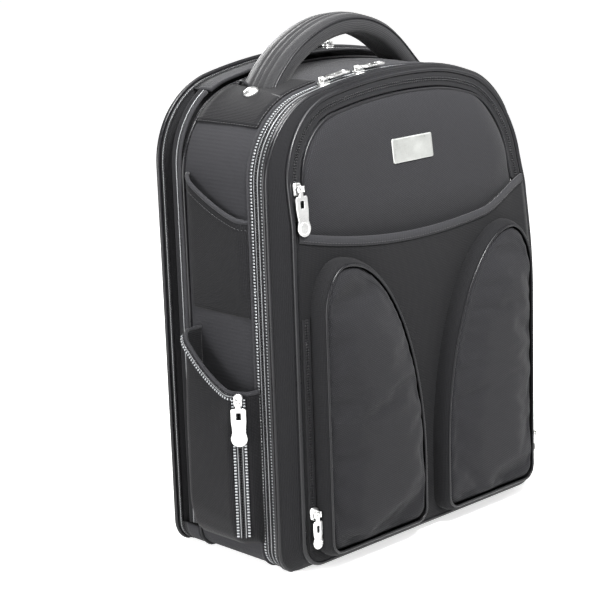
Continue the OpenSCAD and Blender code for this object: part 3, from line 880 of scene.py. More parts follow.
def build_upper_panel():
    loop = FRONT[0] - FRONT[1] * FLAP_IN
    keep = loop[loop[:, 1] > FOLD_Z - 6 * MM]
    foot = np.stack([np.linspace(FLAP_HW, -FLAP_HW, 80), np.full(80, PANEL_FOOT)], 1)
    whole = np.concatenate([keep, foot])
    centre = np.array([0, 330 * MM])
    whole = whole[np.argsort(np.arctan2(whole[:, 1] - centre[1], whole[:, 0]))]
    whole = resample(whole, 360, closed=True)

    def depth(x, z, r):
        wrinkle = ripple(x, z, 11, 13, 3.4) * 0.7 * MM * smooth((1 - r) * 5)
        return FLAP_Y - 0.4 * MM + dome_depth(x, z) + wrinkle

    panel = fill("upper_front", whole, depth, DOBBY, None, 40, centre=centre, shape=lean)
    thicken(panel, 2.4 * MM, -1)
    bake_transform(panel)
    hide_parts("upper_panel")

    ring_points, ring_out = FRONT
    use = ring_points[:, 1] > FOLD_Z + 2 * MM
    points, out = ring_points[use], ring_out[use]

    def line(inset, y):
        return lean(upright(points - out * inset, y))

    seam_y = FRONT_Y - 0.8 * MM
    tube("upper_seam_cord", line(FLAP_IN + 1.2 * MM, seam_y - 0.8 * MM), 1.3 * MM, CORD, "upper_flap")
    away = upright(out, 0)
    normal = along_y(len(out), -1.0)
    centre_line = line(7.9 * MM, seam_y)
    plain = dict(width=NARROW_TAPE_W, bright=False, stripe=False, sink=0.2 * MM)
    outer = zip_half("organizer_zip_outer", centre_line, away, normal, "front_section", **plain)
    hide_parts("organizer_zip")
    zip_half("organizer_zip_inner", centre_line, -away, normal, "upper_flap", **plain)
    build_plate()


PLATE_X, PLATE_Z = -8 * MM, 348 * MM
PLATE_W, PLATE_H = 50 * MM, 21 * MM


def build_plate():
    """The blank plate: a thin rounded rectangle on the dome."""
    y = FLAP_Y - 0.4 * MM - DOME_UP
    loop = round_corners(PLATE_X, PLATE_Z, PLATE_W, PLATE_H, 1.6 * MM, 6)
    middle = np.array([PLATE_X, PLATE_Z])
    rows = [lean(upright(middle + (loop - middle) * (1 - inset * MM / (PLATE_H / 2)), y + dy * MM))
            for inset, dy in ((0, 0.4), (0, -0.9), (0.35, -1.35), (0.9, -1.5))]
    plate = grid("blank_metal_plate", rows, PLATE, "upper_flap", ends=True)
    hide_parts("blank_plate")


ARCH_MID = 108 * MM
ARCH_SIDE = 138 * MM
ARCH_INNER = 11 * MM
ARCH_LEAN = 70 * MM
ARCH_ROUND = 45 * MM


def arch_loop(inset, side, n=260):
    """Outline of an arched pocket in X and Z, drawn in by inset. side is -1 on the left, 1 on the right."""
    top, foot = ARCH_HI.z, ARCH_LO.z
    r = 16 * MM
    a = np.radians(np.linspace(0, 90, 60))
    inner = np.stack([-ARCH_MID + (ARCH_MID - ARCH_INNER - inset) * np.cos(a),
                      ARCH_LEAN + (top - ARCH_LEAN - inset) * np.sin(a)], 1)
    a = np.radians(np.linspace(90, 180, 40))
    outer = np.stack([-ARCH_MID + (ARCH_SIDE - ARCH_MID - inset) * np.cos(a),
                      top - ARCH_ROUND + (ARCH_ROUND - inset) * np.sin(a)], 1)
    low_outer = arc2(-ARCH_SIDE + r, foot + r, r - inset, 180, 270, 16)
    low_inner = arc2(-ARCH_INNER - r, foot + r, r - inset, -90, 0, 16)
    loop = resample(np.concatenate([inner, outer, low_outer, low_inner]), n, closed=True)
    if side > 0:
        loop = (loop * np.array([-1, 1]))[::-1]
    return loop


def slump_loop(loop, y):
    """A loop of X, Z points at depth y, settled with the rest of the bag."""
    return slump(upright(loop, y))[:, (0, 2)]


def build_arch(side, label):
    """One arched pocket: its gusset, its padded face, the cord round it and the zip beside it."""
    depth = LOWER_Y - ARCH_LO.y
    section = ((0, -0.1), (-0.6, 0.12), (-0.7, 0.35), (0.1, 0.58), (1.6, 0.76), (3.6, 0.86), (4.6, 0.86))
    rows = [upright(arch_loop(inset * MM, side), LOWER_Y - out * depth) for inset, out in section]
    grid(f"arch_{label}_gusset", rows, SHELL, "front_section")
    y_face, y_back = LOWER_Y - 0.86 * depth, LOWER_Y - 1 * MM
    loop = arch_loop(5.0 * MM, side)
    centre = np.array([side * 72 * MM, 128 * MM])

    def face(x, z, r):
        crown = 3.6 * MM * (1 - r ** 3.2)
        return y_face - crown + ripple(x, z, 12, 8, side * 2.0) * 1.3 * MM * smooth((1 - r) * 5)

    front = fill(f"arch_{label}_face", loop, face, DOBBY, None, 34, centre=centre)
    back = fill(f"arch_{label}_back", loop, lambda x, z, r: np.full(len(x), y_back), DOBBY, None, 8,
                centre=centre)
    wall = grid(f"arch_{label}_wall", [upright(loop, y) for y in (y_face, y_back)], DOBBY)
    pad = join(f"arch_{label}_padding", [front, back, wall], "front_section")
    sewn = slump_loop(loop, y_face)
    swell(pad, PRESSURE, SWELL_CAP, lambda p: near_loop(p, sewn, 3.5 * MM) | (p[:, 1] > y_face + 3 * MM))
    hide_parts(f"arch_pocket_{label}")
    tube(f"arch_{label}_cord", upright(arch_loop(4.6 * MM, side), y_face - 0.2 * MM), 1.15 * MM, CORD,
         "front_section", closed=True)
    # zip in the groove beside the pocket
    lo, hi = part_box(f"arch_zip_{label}")
    path = xyz((lo.x + hi.x) / 2, lo.y, np.linspace(hi.z, lo.z, 60))
    for name, sign in (("outer", side), ("inner", -side)):
        half = zip_half(f"arch_zip_{label}_{name}", path, along_x(60, sign), along_y(60, -1.0),
                        "front_section", width=3.9 * MM, bright=False, stripe=False, sink=0.1 * MM)
        if name == "outer":
            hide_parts(f"arch_zip_{label}")


build_front_gusset()
build_lower_panel()
build_slip_wall()
build_upper_panel()
build_arch(-1, "left")
build_arch(1, "right")


# ---------------------------------------------------------------- sides

def side_points(side, x, y, z):
    """Points on a side of the bag, x outwards from the middle, mirrored to the side asked for."""
    return np.stack([side * x, y, z], -1)


def build_slash(side, label):
    """The shallow slanted pocket high on a side: a flat patch with a bound, drooping mouth."""
    node = f"slash_pocket_{label}"
    lo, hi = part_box(node)
    y0, y1 = lo.y, hi.y
    proud = 5.0 * MM
    mouth = lambda t: (SLASH_LOW + (hi.z - SLASH_LOW) * t ** 2) + 3 * MM * np.sin(np.pi * t)
    rows = []
    for v in np.linspace(0, 1, 26):
        t = np.linspace(0, 1, 34)
        y = y0 + (y1 - y0) * t
        top = mouth(t)
        z = lo.z + (top - lo.z) * v
        swell = proud * smooth(v * 3.2) * (0.45 + 0.75 * v) * np.clip(np.minimum(t, 1 - t) * 9, 0, 1) ** 0.6
        x = RIM_HW + 1.0 * MM + swell
        p = side_points(side, x, y, z)
        p[:, 0] += side * wobble(p, 0.9 * MM, 22.0, 4.0) * smooth(v * 3)
        rows.append(p)
    patch = grid(f"slash_{label}_patch", rows, SHELL, None, closed=False, flip=side > 0)
    thicken(patch, 1.6 * MM, 0)
    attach(patch, "main_body")
    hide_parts(node)
    edge = rows[-1]
    tube(f"slash_{label}_edge", edge, 1.7 * MM, BINDING, "main_body", flat=1.2)
    stitches(f"slash_{label}_stitch", rows[-3] + np.array([side * 1.1 * MM, 0, 0]), along_x(34, side),
             "main_body")


SLASH_LOW = 304 * MM
MOUTH_LOW = 160 * MM


def bellows_profile(v):
    """How far a bellows pocket stands out, as a share, at height share v."""
    return np.interp(v, [0, 0.05, 0.16, 0.75, 1.0], [0.55, 0.86, 1.0, 1.0, 0.96])


def build_bellows(side, label):
    """The deep side pocket: a soft box with rounded edges, open at the top.
    A zip runs up its front and round its mouth."""
    node = f"side_pocket_{label}"
    lo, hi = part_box(node)
    y0, y1 = lo.y, hi.y
    deep = POCKET_HI.x - POCKET_LO.x
    r = 9 * MM

    def across(v, inset):
        """One level of the pocket from its front edge round to its rear edge."""
        out = deep * float(bellows_profile(v)) - inset
        a = np.linspace(0.1, math.pi / 2, 7)
        cut = BELLOWS_CUT
        front = np.array([[out - cut - 2.4 * MM, y0 + 0.5 * MM], [out - cut, y0 + 1.2 * MM],
                          [out - 1.2 * MM, y0 + cut], [out, y0 + cut + 3 * MM]])
        rear = np.stack([out - r + r * np.cos(a), y1 - inset - r + r * np.sin(a)], 1)
        line = np.concatenate([[[0, y0 + inset]], front, rear, [[0, y1 - inset]]])
        return resample(line, 72)

    def mouth(y):
        t = np.clip((y - y0) / (y1 - y0), 0, 1)
        return MOUTH_LOW + (hi.z - MOUTH_LOW) * t ** 2

    rows = []
    for v in np.linspace(0, 1, 36):
        line = across(v, 0)
        top = mouth(line[:, 1])
        z = lo.z + (top - lo.z) * v
        p = side_points(side, RIM_HW + line[:, 0], line[:, 1], z)
        middle = np.clip(line[:, 0] / deep, 0, 1)
        sag = wobble(p, 1.6 * MM, 17.0, 6.0) * middle
        inward = np.sin(np.pi * np.linspace(0, 1, len(line))) ** 2
        pinch = -2.6 * MM * np.exp(-((v - 0.9) / 0.16) ** 2) * inward
        p[:, 0] += side * (sag + pinch)
        p[:, 1] += wobble(p, 0.8 * MM, 19.0, 7.0)
        rows.append(p)
    foot_out = abs(rows[0][:, 0]) - RIM_HW
    base = [side_points(side, RIM_HW + foot_out * k, rows[0][:, 1], rows[0][:, 2]) for k in (0, 0.5, 0.85)]
    body = grid(f"bellows_{label}_cloth", base + rows, SHELL, None, closed=False,
                flip=side > 0)
    thicken(body, 1.8 * MM, 0)
    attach(body, "main_body")
    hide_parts(node)
    tube(f"bellows_{label}_mouth", rows[-1], 1.6 * MM, BINDING, "main_body", flat=1.3)
    for k, index in (("front", 8), ("rear", 62)):
        seam = [row[index] for row in rows[2:]]
        tube(f"bellows_{label}_{k}_seam", seam, 0.9 * MM, CORD, "main_body")

    # zip: closed up the cut corner to the slider, open above it along the drooping mouth
    low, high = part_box(f"side_zip_{label}")
    z = np.linspace(low.z, high.z - 3 * MM, 60)
    centre_x, centre_y = RIM_HW + deep - BELLOWS_CUT / 2, y0 + BELLOWS_CUT / 2
    path = xyz(side * (centre_x + 0.75 * MM), centre_y - 0.75 * MM, z)
    normal = np.tile([side * ROOT_HALF, -ROOT_HALF, 0], (60, 1))
    along = np.tile([side * ROOT_HALF, ROOT_HALF, 0], (60, 1))
    first = None
    for name, sign in (("a", 1.0), ("b", -1.0)):
        half = zip_half(f"side_zip_{label}_{name}", path, along * sign, normal, "main_body",
                        width=NARROW_TAPE_W, sink=0)
        first = first or half
    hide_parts(f"side_zip_{label}")
    top = rows[-1][14:60]
    path = resample(top, 70) + np.array([side * 1.7 * MM, 0, -0.4 * MM])
    out = along_x(70, side)
    down = unit(np.cross(out, unit(np.gradient(path, axis=0))))
    down *= np.sign(-down[:, 2:3])
    zip_half(f"side_mouth_zip_{label}", path, down, out, "main_body", width=NARROW_TAPE_W, sink=0)


BELLOWS_CUT = 12 * MM
ROOT_HALF = math.sqrt(0.5)

for side, label in SIDES:
    build_slash(side, label)
    build_bellows(side, label)


# ---------------------------------------------------------------- laptop compartment

OPEN_LOW = 22 * MM
OPEN_X = -130 * MM


def closed_part():
    """Indices of the rear outline that are not in the open left side, in order round the bag."""
    x, z = REAR[0][:, 0], REAR[0][:, 1]
    is_open = (x < OPEN_X) & (z > OPEN_LOW)
    start = int(np.argmax(~is_open & np.roll(is_open, 1)))
    order = np.roll(np.arange(len(x)), -start)
    return order[~is_open[order]], order[is_open[order]]


def build_laptop():
    keep, is_open = closed_part()
    normal = ring_normals(REAR)
    rows = [at(REAR, 0, y)[keep] for y in np.linspace(REAR_LO.y, SLOT_Y - 6 * MM, 8)]
    band_piece = grid("laptop_side_band", rows, GRAIN, None, closed=False)
    thicken(band_piece, 2.2 * MM, 1)
    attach(band_piece, "main_body")
    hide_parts("laptop_gusset")
    centre = at(REAR, 0, SLOT_Y)[keep]
    half = zip_half("laptop_zip_front", centre, along_y(len(keep), -1.0), normal[keep], "main_body",
                    width=NARROW_TAPE_W, bright=False, stripe=False)
    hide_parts("laptop_zip_front")
    whole = at(REAR, 0, SLOT_Y)
    half = zip_half("laptop_zip_rear", whole, along_y(STEPS, 1.0), normal, "back_door",
                    width=NARROW_TAPE_W, closed=True, stripe=False)
    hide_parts("laptop_zip_rear")
    # the zip half that hangs open along the side, folded back against the main body
    edge = at(REAR, 0.4 * MM, REAR_LO.y + 2.4 * MM)[is_open]
    fold = unit(np.stack([normal[is_open][:, 0], -0.35 * np.ones(len(edge)), normal[is_open][:, 2]], 1))
    out = unit(normal[is_open] * 0.45 + np.array([0, 1.0, 0]))
    zip_half("laptop_zip_open", edge, out, fold, "main_body", width=6.0 * MM, sink=0, stripe=False)
    tube("laptop_edge_cord", at(REAR, 0.4 * MM, REAR_LO.y + 1.4 * MM)[is_open], 1.6 * MM, BINDING,
         "main_body")
    tube("rear_edge_cord", at(REAR, 0.6 * MM, DOOR_HI.y - 1.6 * MM), 2.0 * MM, CORD, "back_door",
         closed=True)


build_laptop()


# ---------------------------------------------------------------- back

BACK_ROUND = 3 * MM


def build_back():
    y0, y1 = DOOR_LO.y, DOOR_HI.y
    y_in, y_edge = y0 + 0.3 * MM, y1 - BACK_ROUND
    loop = REAR[0] - REAR[1] * 0.6 * MM
    centre = (0, 210 * MM)

    def outer(x, z, r):
        return y1 - BACK_ROUND * r ** 8 + ripple(x, z, 9, 9, 7.0) * 0.8 * MM * smooth((1 - r) * 6)

    back = fill("back_outer", loop, outer, SHELL, None, 26, centre=centre)
    inner = fill("back_inner", loop, lambda x, z, r: np.full(len(x), y_in), SHELL, None, 8,
                 centre=centre)
    edge = grid("back_edge", [upright(loop, y) for y in (y_edge, y_in)], SHELL)
    panel = join("back_door_panel", [back, inner, edge], "back_door")
    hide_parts("back_panel")


def cushion(name, loop, y0, y1, material, body, channels=(), bow=0.35, seed=0.0):
    """A pad on the bag's back: crowned outer face with sewn channels, pulled-in sides, flat inner face."""
    deep = y1 - y0
    centre = loop.mean(0)

    def outer(x, z, r):
        crown = deep * (1 - bow * r ** 3) - deep * 0.42 * smooth((r - 0.9) / 0.1)
        wrinkle = ripple(x, z, 16, 16, seed) * 0.8 * MM * (1 - r)
        for level in channels:
            crown = crown - deep * 0.5 * np.exp(-((z - level) / (4.5 * MM)) ** 2)
        return y0 + crown + wrinkle

    face = fill(name + "_f", loop, outer, material, None, 34, centre=centre)
    back = fill(name + "_b", loop, lambda x, z, r: np.full(len(x), y0), material, None, 8,
                centre=centre)
    y_edge = outer(loop[:, 0], loop[:, 1], np.ones(len(loop)))
    side = grid(name + "_s", [upright(loop, y) for y in (y_edge, y0)], material)
    pad = join(name, [face, back, side], body)

    def sewn(points):
        """The pad's edge, its inner face and its channels stay where they are."""
        held = near_loop(points, slump_loop(loop, y1), 2 * MM) | (points[:, 1] < y0 + 3 * MM)
        for level in channels:
            held = held | (abs(points[:, 2] - level) < 2.5 * MM)
        return held

    swell(pad, PRESSURE, SWELL_CAP, sewn)
    return pad


def build_pads():
    for side, label in SIDES:
        loop = rounded_rect(side * 62 * MM, (PAD_LO.z + PAD_HI.z) / 2, 86 * MM, PAD_HI.z - PAD_LO.z, 18 * MM)
        pad = cushion(f"back_pad_{label}", loop, PAD_LO.y, PAD_HI.y, MESH, "back_door",
                      channels=(128 * MM, 195 * MM, 262 * MM), seed=2.0 + side)
        tube(f"back_pad_{label}_cord", upright(loop, PAD_LO.y + 1.2 * MM), 1.5 * MM, BINDING, "back_door",
             closed=True)
    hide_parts("back_pads")
    middle_z = (YOKE_LO.z + YOKE_HI.z) / 2
    w, h = YOKE_HI.x - YOKE_LO.x, YOKE_HI.z - YOKE_LO.z
    yoke = cushion("shoulder_yoke", rounded_rect(0, middle_z, w, h, 12 * MM), YOKE_LO.y, YOKE_HI.y, SHELL,
                   "back_door", bow=0.5, seed=9.0)
    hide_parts("strap_yoke")
    for k, inset in enumerate((6 * MM, 9 * MM)):
        seam = rounded_rect(0, middle_z, w - 2 * inset, h - 2 * inset, 8 * MM, 200)
        y = YOKE_HI.y - 4.4 * MM + 0.9 * MM * k
        stitches(f"yoke_stitch_{k}", upright(seam, y), along_y(200, 1.0), "back_door")


def build_straps():
    """Padded shoulder straps that hang from the yoke, each bound round its edges and with webbing down it."""
    for side, label in SIDES:
        route = np.array([[48, 350], [56, 325], [64, 300], [75, 248], [86, 196]]) * MM
        half = np.array([31, 31, 31, 27, 21.7]) * MM
        t = np.linspace(0, 1, 60)
        s = lengths(route) / lengths(route)[-1]
        cx, cz = np.interp(t, s, route[:, 0]), np.interp(t, s, route[:, 1])
        hw = np.interp(t, s, half)
        y0, y1 = STRAP_LO.y, STRAP_HI.y
        middle_y = (y0 + y1) / 2
        a = around(28)
        ex = np.sign(np.cos(a)) * np.abs(np.cos(a)) ** 0.55
        ey = np.sign(np.sin(a)) * np.abs(np.sin(a)) ** 0.75
        rows = []
        for k in range(60):
            thick = (y1 - y0) / 2 * (0.62 + 0.38 * abs(math.sin(math.pi * t[k])) ** 0.5)
            lift = wobble(np.array([[cx[k], 0, cz[k]]]), 0.8 * MM, 20.0, 3.0 + side)[0]
            rows.append(xyz(side * (cx[k] + hw[k] * ex), middle_y + thick * ey + lift, cz[k]))
        strap = grid(f"padded_strap_{label}", rows, MESH, "back_door", ends=True, flip=side < 0)
        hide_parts(f"shoulder_strap_{label}")
        for name, edge in (("in", -1), ("out", 1)):
            path = xyz(side * (cx + edge * (hw - 0.6 * MM)), middle_y, cz)
            tube(f"strap_{label}_{name}_edge", path, 1.8 * MM, BINDING, "back_door")
        web(f"strap_{label}_ladder", xyz(side * cx, y1 + 0.2 * MM, cz)[6:-6], 20 * MM, 1.4 * MM)


def web(name, path, width, thick, body="back_door"):
    """Flat webbing along a path on the back, its width across the bag."""
    path = resample(np.asarray(path, float), 70)
    tangent = unit(np.gradient(path, axis=0))
    across = unit(np.cross(tangent, along_y(70, 1.0)))
    out = np.cross(across, tangent)
    section = [(-1, -1), (-1, 1), (-0.6, 1.15), (0, 1.0), (0.6, 1.15), (1, 1), (1, -1), (0, -1)]
    rows = [[p + w * (width / 2) * u + o * (thick / 2) * v for u, v in section]
            for p, w, o in zip(path, across, out)]
    return grid(name, rows, WEBBING, body, ends=True)


WEB_ROUTE = np.array([[86, 72, 190], [88, 70, 180], [92, 68.3, 162], [106, 67.6, 128], [118, 66.2, 98],
                      [126, 60.5, 74], [131, 56.3, 56], [132, 55.3, 40]]) * MM
WEB_TAIL = np.array([[86, 74.5, 190], [84, 75.5, 160], [81, 74, 130], [80, 71, 108]]) * MM
WEB_FOOT = np.array([[132, 57, 58], [132, 56.8, 40], [132, 56.6, 34]]) * MM


def build_webbing():
    """Webbing from each strap to the foot of the back, its loose tail, and the fold sewn over its end."""
    for side, label in SIDES:
        mirror = np.array([side, 1, 1])
        web(f"webbing_{label}", WEB_ROUTE * mirror, 25 * MM, 1.8 * MM)
        web(f"webbing_tail_{label}", WEB_TAIL * mirror, 24 * MM, 1.6 * MM, f"adjuster_{label}")
        web(f"webbing_foot_{label}", WEB_FOOT * mirror, 29 * MM, 2.4 * MM)
    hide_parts("strap_webbing")


build_back()
build_pads()
build_straps()
build_webbing()


# ---------------------------------------------------------------- handle

HANDLE_Y = (HANDLE_LO.y + HANDLE_HI.y) / 2
HANDLE_T = 17 * MM
HANDLE_PATH = np.array([[-119, 390], [-111, 403], [-100, 418], [-82, 435], [-60, 448], [-36, 456.5],
                        [-12, 459.5], [11, 457], [34, 448.5], [56, 435], [78, 418.5], [97, 404],
                        [109, 391]]) * MM


HALF_PROFILE = [(-1.0, 0.55), (-0.97, 0.2), (-0.86, 0.04), (-0.62, 0.0), (-0.44, -0.03), (-0.36, 0.03),
                (-0.28, -0.05), (-0.12, -0.07), (-0.05, -0.02)]
UNDERSIDE = [(0.96, 0.85), (0.8, 0.97), (0.4, 1.0), (0, 1.0), (-0.4, 1.0), (-0.8, 0.97), (-0.96, 0.85)]
GRIP_PROFILE = HALF_PROFILE + [(0.0, 0.05)] + [(-u, v) for u, v in HALF_PROFILE[::-1]] + UNDERSIDE


def bend_with_handle(piece):
    """Bakes a piece's placement into its mesh."""
    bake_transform(piece)


def build_handle():
    """A padded grip that arches between its two feet: stitched ridges on top and a corded rear edge."""
    path = resample(catmull(HANDLE_PATH, 12), 110)
    tangent = unit(np.gradient(path, axis=0))
    down = np.stack([tangent[:, 1], -tangent[:, 0]], 1)
    s = np.linspace(0, 1, len(path))
    near_foot = smooth((0.1 - s) / 0.1) + smooth((s - 0.9) / 0.1)
    half = (HANDLE_HI.y - HANDLE_LO.y) / 2 * (1 + 0.16 * near_foot)
    thick = HANDLE_T * (1 - 0.35 * near_foot)
    rows = np.array([[[p[0] + d[0] * t * v, HANDLE_Y + w * u, p[1] + d[1] * t * v] for u, v in GRIP_PROFILE]
                     for p, d, t, w in zip(path, down, thick, half)])
    grip = grid("handle_padding", rows, GRIP, None, ends=True)
    bend_with_handle(grip)
    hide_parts("handle_grip")
    for name, index, radius in (("rear", 17, 1.7), ("front", 1, 0.9)):
        bend_with_handle(tube(f"handle_{name}_cord", rows[:, index], radius * MM, CORD, None))


def catmull(points, n):
    """A smooth curve through points, n steps between each two."""
    p = np.concatenate([[2 * points[0] - points[1]], points, [2 * points[-1] - points[-2]]])
    made = []
    for a, b, c, d in zip(p[:-3], p[1:-2], p[2:-1], p[3:]):
        for t in np.linspace(0, 1, n, endpoint=False):
            bend, twist = 2 * a - 5 * b + 4 * c - d, 3 * b - a - 3 * c + d
            made.append(0.5 * (2 * b + (c - a) * t + bend * t * t + twist * t ** 3))
    return np.array(made + [points[-1]])


def build_patches():
    """Cloth patches under the handle's feet, stitched round."""
    for side, label in SIDES:
        use = (side * RIM[0][:, 0] > 78 * MM) & (RIM[0][:, 1] > 379 * MM)
        index = np.where(use)[0]
        index = index[np.argsort(side * RIM[0][index, 0])]
        ring = (RIM[0][index], RIM[1][index])
        ys = np.linspace(GUSSET_Y + 3 * MM, REAR_Y - 2 * MM, 12)
        rows = [at(ring, 1.6 * MM + 0.7 * MM * math.sin(math.pi * k / 11), y) for k, y in enumerate(ys)]
        patch = grid(f"handle_patch_{label}_cloth", rows, SHELL, None, closed=False, flip=side > 0)
        thicken(patch, 1.4 * MM, 0)
        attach(patch, "main_body")
        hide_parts(f"handle_patch_{label}")
        rows = np.array(rows)
        outline_path = np.concatenate([rows[0], rows[1:, -1], rows[-1][::-1][1:]])
        normal = ring_normals(ring)
        normal = unit(np.concatenate([normal, np.tile(normal[-1], (11, 1)), normal[::-1][1:]]))
        stitches(f"handle_patch_{label}_stitch", outline_path + normal * 1.0 * MM, normal, "main_body")


def crown_height(x):
    """Height of the rim outline's top at x."""
    upper = RIM[0][RIM[0][:, 1] > 0.9 * RIM_H]
    upper = upper[np.argsort(upper[:, 0])]
    return np.interp(x, upper[:, 0], upper[:, 1])


def build_foot_welts():
    """The folded edge of each patch, which runs slantwise over the foot of the handle."""
    for side, label, foot in ((-1, "left", HANDLE_PATH[:7]), (1, "right", HANDLE_PATH[:-8:-1])):
        for part, shift, radius in (("edge", 0, 1.5), ("seam", 4.0, 0.9)):
            path = []
            for t in np.linspace(0, 1, 48):
                x = (104 + 15 * t + shift) * MM
                y = REAR_Y - 1 * MM + (GUSSET_Y + 4 * MM - REAR_Y) * t
                surface = crown_height(side * x)
                over = max(0.0, np.interp(-x, -side * foot[:, 0], foot[:, 1]) - surface)
                near = smooth((25 * MM - abs(y - HANDLE_Y)) / (5 * MM))
                path.append([side * x, y, surface + 1.6 * MM + over * near])
            bend_with_handle(tube(f"handle_foot_{label}_{part}", path, radius * MM, CORD, None,
                                  flat=0.8))


build_handle()
build_patches()
build_foot_welts()


# ---------------------------------------------------------------- zip hardware

def filled_plate(name, loops, thick, bevel, body, place):
    """A thin metal plate from closed loops, the first its edge and the rest its holes, with rounded edges."""
    curve = bpy.data.curves.new(name, "CURVE")
    curve.dimensions = "2D"
    curve.fill_mode = "BOTH"
    curve.extrude = thick / 2 - bevel
    curve.bevel_depth = bevel
    curve.bevel_resolution = 2
    for loop in loops:
        spline = curve.splines.new("POLY")
        spline.points.add(len(loop) - 1)
        for point, (x, y) in zip(spline.points, loop):
            point.co = (x, y, 0, 1)
        spline.use_cyclic_u = True
    holder = bpy.data.objects.new(name + "_curve", curve)
    bpy.context.scene.collection.objects.link(holder)
    graph = bpy.context.evaluated_depsgraph_get()
    mesh = bpy.data.meshes.new_from_object(holder.evaluated_get(graph))
    bpy.data.objects.remove(holder)
    bpy.data.curves.remove(curve)
    mesh.name = name
    mesh.transform(place)
    mesh.materials.clear()
    mesh.materials.append(METAL)
    piece = bpy.data.objects.new(name, mesh)
    bpy.context.scene.collection.objects.link(piece)
    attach(piece, body)
    return piece


def hardware_frame(pull_node, joint_name):
    """Where a slider lies: X towards its pull's end, Y along its pin, Z out of the zip."""
    joint = next(j for j in frame["joints"] if j["name"] == joint_name)
    pin = Vector(joint["pos_m"])
    y = -Vector(joint["axis"]).normalized()
    lo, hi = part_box(pull_node)
    x = (lo + hi) / 2 - pin
    x = (x - y * x.dot(y)).normalized()
    z = x.cross(y)
    return Matrix(((x.x, y.x, z.x, pin.x), (x.y, y.y, z.y, pin.y), (x.z, y.z, z.z, pin.z), (0, 0, 0, 1)))


PIN_UP = 6 * MM
EAR_OUT = 2.7 * MM
TAB = 8.0
NECK = 1.6
LONG_PULL = (32, 12, 6.5, 5)
SHORT_PULL = (25, 9, 5, 4)


def placed(matrix, points):
    """Points in metres moved to where a matrix puts them."""
    return [tuple(matrix @ Vector(p)) for p in points]


def slider_ring(z, grow):
    """One level of a slider's waisted body, in millimetres, grown all round by grow."""
    points = []
    for a in around(28):
        c, s = math.cos(a), math.sin(a)
        x = math.copysign(abs(c) ** 0.7, c) * (5.5 + grow)
        waist = 1 - 0.16 * math.exp(-((x - 1.2) / 2.4) ** 2)
        y = math.copysign(abs(s) ** 0.6, s) * (4.0 * waist + grow)
        points.append((x * MM, y * MM, z * MM))
    return points


def build_slider(slider, base):
    """A slider: a waisted body, two ears and the pin between them."""
    levels = ((0.35, -0.5), (0.6, 0), (1.5, 0), (1.8, -0.7), (2.3, -0.7), (2.6, 0), (3.3, 0), (3.6, -0.5))
    rows = [placed(base, slider_ring(z, grow)) for z, grow in levels]
    body = grid(slider + "_body", rows, METAL, slider, ends=True)
    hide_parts(slider)
    verts, faces = box_mesh([((-2.6 * MM, s * EAR_OUT - 0.7 * MM, 3.2 * MM),
                              (2.6 * MM, s * EAR_OUT + 0.7 * MM, 7.9 * MM)) for s in (-1, 1)])
    ears = make(slider + "_ears", placed(base, verts), faces, None, METAL, None)
    bevelled(ears, 0.5 * MM, 3)
    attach(ears, slider)
    pin = placed(base, [(0, y * MM, PIN_UP) for y in (-3.5, -1, 1, 3.5)])
    tube(slider + "_pin", pin, 0.8 * MM, METAL, slider, sides=14)


def pull_edge(length, width, disc):
    """Half of a pull's edge, in millimetres: neck, shoulder, straight side and the start of the disc end."""
    half = width / 2
    shoulder = [tuple(p) for p in arc2(TAB - 0.6, -half + 1.4, 1.4, 200, 270, 5)]
    straight = [(TAB + 9, -half), (length - disc * 0.9, -half + 0.9)]
    return [(NECK, -NECK), (TAB - 2.0, -NECK)] + shoulder + straight


def build_pull(pull, place, long):
    """A pull: an eye round the pin, a neck, a windowed tab and a disc end with a raised rim."""
    length, width, disc, window_h = LONG_PULL if long else SHORT_PULL
    turn = math.degrees(math.asin(min(1, (width / 2 - 0.9) / disc))) + 25
    low = pull_edge(length, width, disc)
    end = [tuple(p) for p in arc2(length, 0, disc, -180 + turn, 180 - turn, 30)]
    edge = np.array(low + end + [(x, -y) for x, y in low[::-1]]) * MM
    window = rounded_rect((TAB + 4.5) * MM, 0, 7 * MM, window_h * MM, 1.0 * MM, 40)[::-1]
    plate = filled_plate(pull + "_plate", [edge, window], 1.7 * MM, 0.35 * MM, pull, place)
    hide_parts(pull)
    eye_r, rim_r = 1.55 * MM, (disc - 1.6) * MM
    eye = placed(place, [(eye_r * math.cos(a), 0, eye_r * math.sin(a)) for a in around(24)])
    tube(pull + "_eye", eye, 0.55 * MM, METAL, pull, closed=True, sides=10)
    rim = placed(place, [(length * MM + rim_r * math.cos(a), rim_r * math.sin(a), 0.75 * MM)
                         for a in around(30)])
    tube(pull + "_rim", rim, 0.45 * MM, METAL, pull, closed=True, sides=8)


def build_hardware(label, long):
    """One zip's slider and pull."""
    slider, pull = label.replace("@", "slider"), label.replace("@", "pull")
    place = hardware_frame(pull, pull + "_swing")
    build_slider(slider, place @ Matrix.Translation((0, 0, -PIN_UP)))
    build_pull(pull, place, long)


for name, long in (("main_@_left", False), ("main_@_right", False), ("organizer_@", True),
                   ("side_@_left", True), ("side_@_right", True), ("arch_@_left", False),
                   ("arch_@_right", False), ("laptop_@", False)):
    build_hardware(name, long)


RIVET_X = 118 * MM


